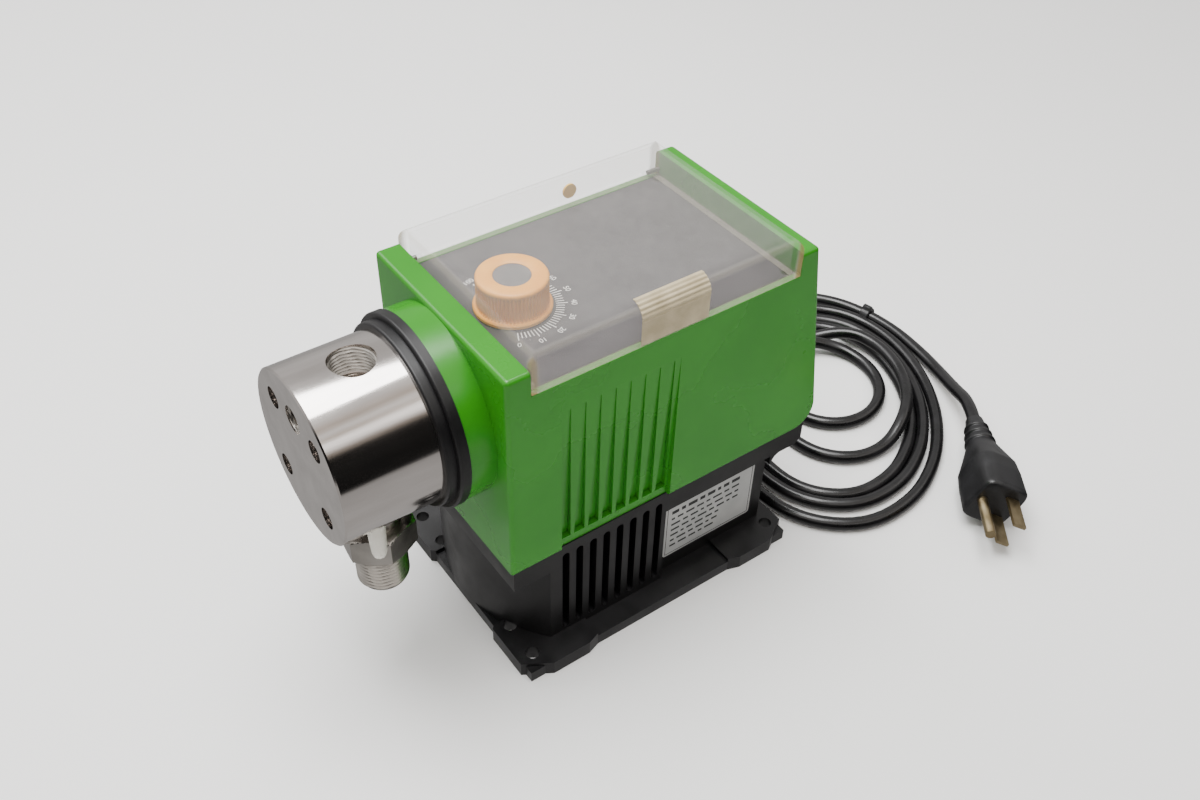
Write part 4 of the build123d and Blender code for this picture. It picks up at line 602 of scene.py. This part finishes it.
# ---------------------------------------------------------------- dial
def make_knob():
    """Turned knob with a skirt; its side radius dips at sixty flutes, shallower at the two ends.
    Dip is a raised cosine of sixty times the turn."""
    flutes, columns, dip = 60, 480, 0.55
    top, low = KNOB_TOP, KNOB_LOW
    skirt, bore = low + SKIRT_H, KNOB_BORE + 0.05
    # (height, radius, how deep the flutes are there)
    profile = [
        (low, bore, 0), (low, SKIRT_R - 0.3, 0), (low + 0.3, SKIRT_R, 0), (skirt - 0.4, SKIRT_R, 0),
        (skirt, SKIRT_R - 0.4, 0), (skirt + 0.05, KNOB_R + 0.2, 0), (skirt + 0.5, KNOB_R, 0.6),
        *((h, KNOB_R, 1) for h in np.linspace(skirt + 0.9, top - 2.6, 8)),
        (top - 2.1, KNOB_R, 0.5), (top - 1.7, KNOB_R, 0), (top - 0.9, KNOB_R, 0), (top - 0.35, KNOB_R - 0.3, 0),
        (top, KNOB_R - 1.0, 0), (top, RECESS_R + 0.5, 0), (top - 0.3, RECESS_R + 0.05, 0),
        (top - RECESS_H, RECESS_R, 0), (top - RECESS_H, bore, 0),
    ]
    height, radius, flute = (np.array(column) for column in zip(*profile))
    angle = np.linspace(0, 2 * np.pi, columns, endpoint=False)[None, :]
    reach = radius[:, None] - dip * flute[:, None] * (0.5 - 0.5 * np.cos(flutes * angle))
    rings = np.stack([reach * np.cos(angle), KNOB_Y + reach * np.sin(angle),
                      np.broadcast_to(height[:, None], reach.shape)], -1)
    piece = finish_piece("fluted_knob", skin_mesh("fluted_knob", rings, True), KNOB, "knob")
    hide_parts("dial_knob")


DIAL_ZERO, DIAL_TEN, DIAL_NUMBER_R = -26.6, 22.2, 22.7   # degrees at 0, degrees for ten units, radius
TICK_IN_R, TICK_OUT_R, TEN_OUT_R, TICK_HALF, NUMBER_SIZE = 16.0, 19.2, 20.4, 0.2, 3.2


def make_dial_print():
    """Ticks every two units, longer at tens, as thin radial blocks; numbers stand with their feet to the knob."""
    unit = np.arange(0, 101, 2)
    way = np.radians(DIAL_ZERO + unit / 10 * DIAL_TEN)
    outer = np.where(unit % 10 == 0, TEN_OUT_R, TICK_OUT_R)
    middle, half = (outer + TICK_IN_R) / 2, (outer - TICK_IN_R) / 2
    along = middle[:, None] + CUBE_SIGNS[None, :, 0] * half[:, None]
    side = CUBE_SIGNS[None, :, 1] * TICK_HALF
    up = np.broadcast_to(PANEL_TOP + PRINT_HALF + CUBE_SIGNS[None, :, 2] * PRINT_HALF, along.shape)
    corners = np.stack([along * np.cos(way)[:, None] - side * np.sin(way)[:, None],
                        KNOB_Y + along * np.sin(way)[:, None] + side * np.cos(way)[:, None], up], -1)
    finish_piece("dial_ticks", blocks_mesh("dial_ticks", corners), DIAL_WHITE, "root", smooth=False)
    points, faces, count = [], [], 0
    for number in range(0, 101, 10):
        writing = bpy.data.curves.new("number", "FONT")
        writing.body, writing.size, writing.extrude = str(number), NUMBER_SIZE, PRINT_HALF
        writing.align_x, writing.align_y = "CENTER", "CENTER"
        holder = bpy.data.objects.new("number", writing)
        bpy.context.scene.collection.objects.link(holder)
        flat = bpy.data.meshes.new_from_object(holder)
        co = np.empty(len(flat.vertices) * 3)
        flat.vertices.foreach_get("co", co)
        co = co.reshape(-1, 3)
        turn = math.radians(DIAL_ZERO + number / 10 * DIAL_TEN)
        tip = turn - math.pi / 2
        points.append(np.column_stack([
            DIAL_NUMBER_R * math.cos(turn) + co[:, 0] * math.cos(tip) - co[:, 1] * math.sin(tip),
            KNOB_Y + DIAL_NUMBER_R * math.sin(turn) + co[:, 0] * math.sin(tip) + co[:, 1] * math.cos(tip),
            PANEL_TOP + PRINT_HALF + co[:, 2]]))
        faces += [[count + v for v in polygon.vertices] for polygon in flat.polygons]
        count += len(co)
        bpy.data.objects.remove(holder)
        bpy.data.meshes.remove(flat)
    mesh = bpy.data.meshes.new("dial_numbers")
    mesh.from_pydata((np.concatenate(points) * MM).tolist(), [], faces)
    finish_piece("dial_numbers", mesh, DIAL_WHITE, "root", smooth=False)


# ---------------------------------------------------------------- rating plate and lid grip
ROW_Z = (41.4, 37.4, 33.8, 30.4, 27.0, 23.6, 20.2)
DASHES, DASH_GAP = (3.8, 2.2, 5.0, 2.8, 4.2, 1.8, 3.2, 4.6), 1.5
ROW_START, LONG_ROWS, LONG_END, SHORT_END = 3.5, 4, 4, 16
FIRST_HALF_Z, DASH_HALF_Z = 0.95, 0.55
BORDER_IN, BORDER_HALF, BORDER_CLEAR = 1.2, 0.15, 0.16


def make_plate_print():
    """Rows of plain dashes for the plate's print, and its border: thin blocks on the plate's face."""
    blocks = []              # (middle y, middle z, half y, half z)
    for i, z in enumerate(ROW_Z):
        lengths = np.roll(DASHES, 3 * i)
        ends = PLATE_Y[0] + ROW_START + np.cumsum(lengths + DASH_GAP)
        fits = ends < PLATE_Y[1] - (LONG_END if i < LONG_ROWS else SHORT_END)
        half_z = FIRST_HALF_Z if i == 0 else DASH_HALF_Z
        blocks += [(end - DASH_GAP - long / 2, z, long / 2, half_z) for end, long in zip(ends[fits], lengths[fits])]
    (y0, y1), (z0, z1) = ((low + BORDER_IN, high - BORDER_IN) for low, high in (PLATE_Y, PLATE_Z))
    middle_y, middle_z = (y0 + y1) / 2, (z0 + z1) / 2
    blocks += [(middle_y, z, (y1 - y0) / 2, BORDER_HALF) for z in (z0, z1)]
    blocks += [(y, middle_z, BORDER_HALF, (z1 - z0) / 2 - BORDER_CLEAR) for y in (y0, y1)]
    y, z, half_y, half_z = np.array(blocks).T
    centres = np.column_stack([np.full(len(y), PLATE_X + SKIN), y, z])
    halves = np.column_stack([np.full(len(y), SKIN), half_y, half_z])
    mesh = blocks_mesh("plate_print", centres[:, None, :] + CUBE_SIGNS[None] * halves[:, None, :])
    finish_piece("plate_print", mesh, INK, "root", smooth=False)


def make_grip():
    """Ribbed film on the lid's near wall: it climbs the wall and rolls over the edge.
    Height above the lid is a small wave up the wall and a bigger one over the edge."""
    wall_rows, fine_pitch, coarse_pitch, coarse_from = 90, 0.85, 1.75, 9.8
    wall = np.linspace(LID_LOW_Z + 0.6, LID_TOP_Z - LID_EDGE_R, wall_rows)
    bend = np.linspace(0, math.pi / 2, 60)[1:]
    x = np.concatenate([np.full(wall_rows, LID_X), LID_X - LID_EDGE_R + LID_EDGE_R * np.cos(bend)])
    z = np.concatenate([wall, LID_TOP_Z - LID_EDGE_R + LID_EDGE_R * np.sin(bend)])
    out_x = np.concatenate([np.ones(wall_rows), np.cos(bend)])
    out_z = np.concatenate([np.zeros(wall_rows), np.sin(bend)])
    run = np.concatenate([[0], np.cumsum(np.hypot(np.diff(x), np.diff(z)))])
    fine = 0.05 * (0.5 + 0.5 * np.cos(2 * np.pi * run / fine_pitch))
    coarse = 0.32 * (0.5 + 0.5 * np.cos(2 * np.pi * run / coarse_pitch)) ** 1.5 * smooth_step((run - coarse_from) / 1.2)
    rise = 0.08 + fine + coarse
    outer = np.column_stack([x + out_x * rise, z + out_z * rise])
    inner = np.column_stack([x + out_x * SKIN, z + out_z * SKIN])[::-1]
    loop = np.concatenate([outer, inner])
    across = np.array([-GRIP_HALF_Y, GRIP_HALF_Y])
    rings = np.stack([np.broadcast_to(loop[:, 0], (2, len(loop))),
                      np.broadcast_to(across[:, None], (2, len(loop))),
                      np.broadcast_to(loop[:, 1], (2, len(loop)))], -1)
    finish_piece("lid_grip_film", skin_mesh("lid_grip_film", rings), GRIP, "lid")


def make_spring():
    """The frame's own spring coils, made a piece of their own with a mesh of their own."""
    mesh = nodes["return_spring"].data.copy()
    mesh.materials.clear()
    piece = finish_piece("squeezed_spring", mesh, SCREW_STEEL, "root")
    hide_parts("return_spring")
    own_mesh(piece)


# ---------------------------------------------------------------- frame nodes, pieces and floor
FLOOR_HALF = 2               # metres
NODE_FINISH = {
    "base_housing": BLACK, "support_ring": BLACK, "upper_housing": GREEN, "control_panel": PANEL,
    "panel_screws": SCREW_STEEL, "housing_screws": SCREW_STEEL, "circuit_board": BOARD, "board_spacers": NYLON,
    "board_components": CERAMIC, "speed_control": CERAMIC, "dial_shaft": ALUMINIUM, "dial_knob": KNOB,
    "knob_cap": CAP, "capacitor": CAN, "terminal_block": NYLON, "inner_wires": COPPER, "rating_plate": LABEL,
    "clear_cover": CLEAR, "cover_plug": YELLOW, "hinge_pins": SCREW_STEEL, "diaphragm": RUBBER,
    "pump_head": STEEL, "head_screws": SCREW_STEEL, "suction_fitting": FITTING_STEEL, "fitting_seal": WHITE,
    "suction_seat": STEEL, "suction_ball": STEEL, "suction_cage": STEEL, "discharge_seat": STEEL,
    "discharge_ball": STEEL, "discharge_cage": STEEL, "drain_nipple": NYLON, "tappet_rod": SCREW_STEEL,
    "tappet_pad": BRONZE, "diaphragm_core": ALUMINIUM, "spring_collar": SCREW_STEEL, "tappet_guide": BRONZE,
    "return_spring": SCREW_STEEL, "motor_stator": COPPER, "motor_rotor": ALUMINIUM, "worm_shaft": SCREW_STEEL,
    "worm": SCREW_STEEL, "gear_frame": ALUMINIUM, "frame_screws": SCREW_STEEL, "motor_screws": SCREW_STEEL,
    "shaft_bushes": BRONZE, "cam_shaft": SCREW_STEEL, "stroke_cam": SCREW_STEEL, "worm_wheel": BRONZE,
    "cord_gland": RUBBER, "mains_cord": VINYL, "cord_lead": VINYL, "cord_coil": VINYL, "cord_tie": VINYL,
    "plug_body": VINYL, "plug_pins": BRASS,
}

assert set(NODE_FINISH) == set(nodes), set(NODE_FINISH) ^ set(nodes)
for name, node in nodes.items():
    if not node.material_slots:
        node.data.materials.append(NODE_FINISH[name])
    for holder in node.material_slots:
        holder.material = NODE_FINISH[name]

place_camera()
studio_light()

lead, lead_path = make_lead()
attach(lead, "root")
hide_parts("mains_cord", "cord_coil", "cord_lead")
plug = make_plug()
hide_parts("plug_body")
tie = make_tie(lead_path)
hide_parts("cord_tie")

make_fitting()
thread_lining("port_thread", PORT_R, 1.5, 0.75, PORT_FLOOR + 0.3, PORT_RIM,
              lambda u, v, w: np.stack([u, PORT_Y + v, w], -1))
thread_lining("face_port_thread", FACE_PORT_R, 1.1, 0.5, FACE_Y + 0.5, FACE_PORT_FLOOR - 0.3,
              lambda u, v, w: np.stack([u, w, FACE_PORT_Z + v], -1))
make_knob()
make_dial_print()
make_plate_print()
make_grip()
make_spring()

floor_mesh = bpy.data.meshes.new("floor")
floor_mesh.from_pydata([(x * FLOOR_HALF, y * FLOOR_HALF, 0) for x, y in ((-1, -1), (1, -1), (1, 1), (-1, 1))],
                       [], [(0, 1, 2, 3)])
floor_mesh.materials.append(FLOOR)
floor = bpy.data.objects.new("floor", floor_mesh)
bpy.context.scene.collection.objects.link(floor)
floor.visible_glossy = False   # polished metal mirrors the surroundings, not the floor
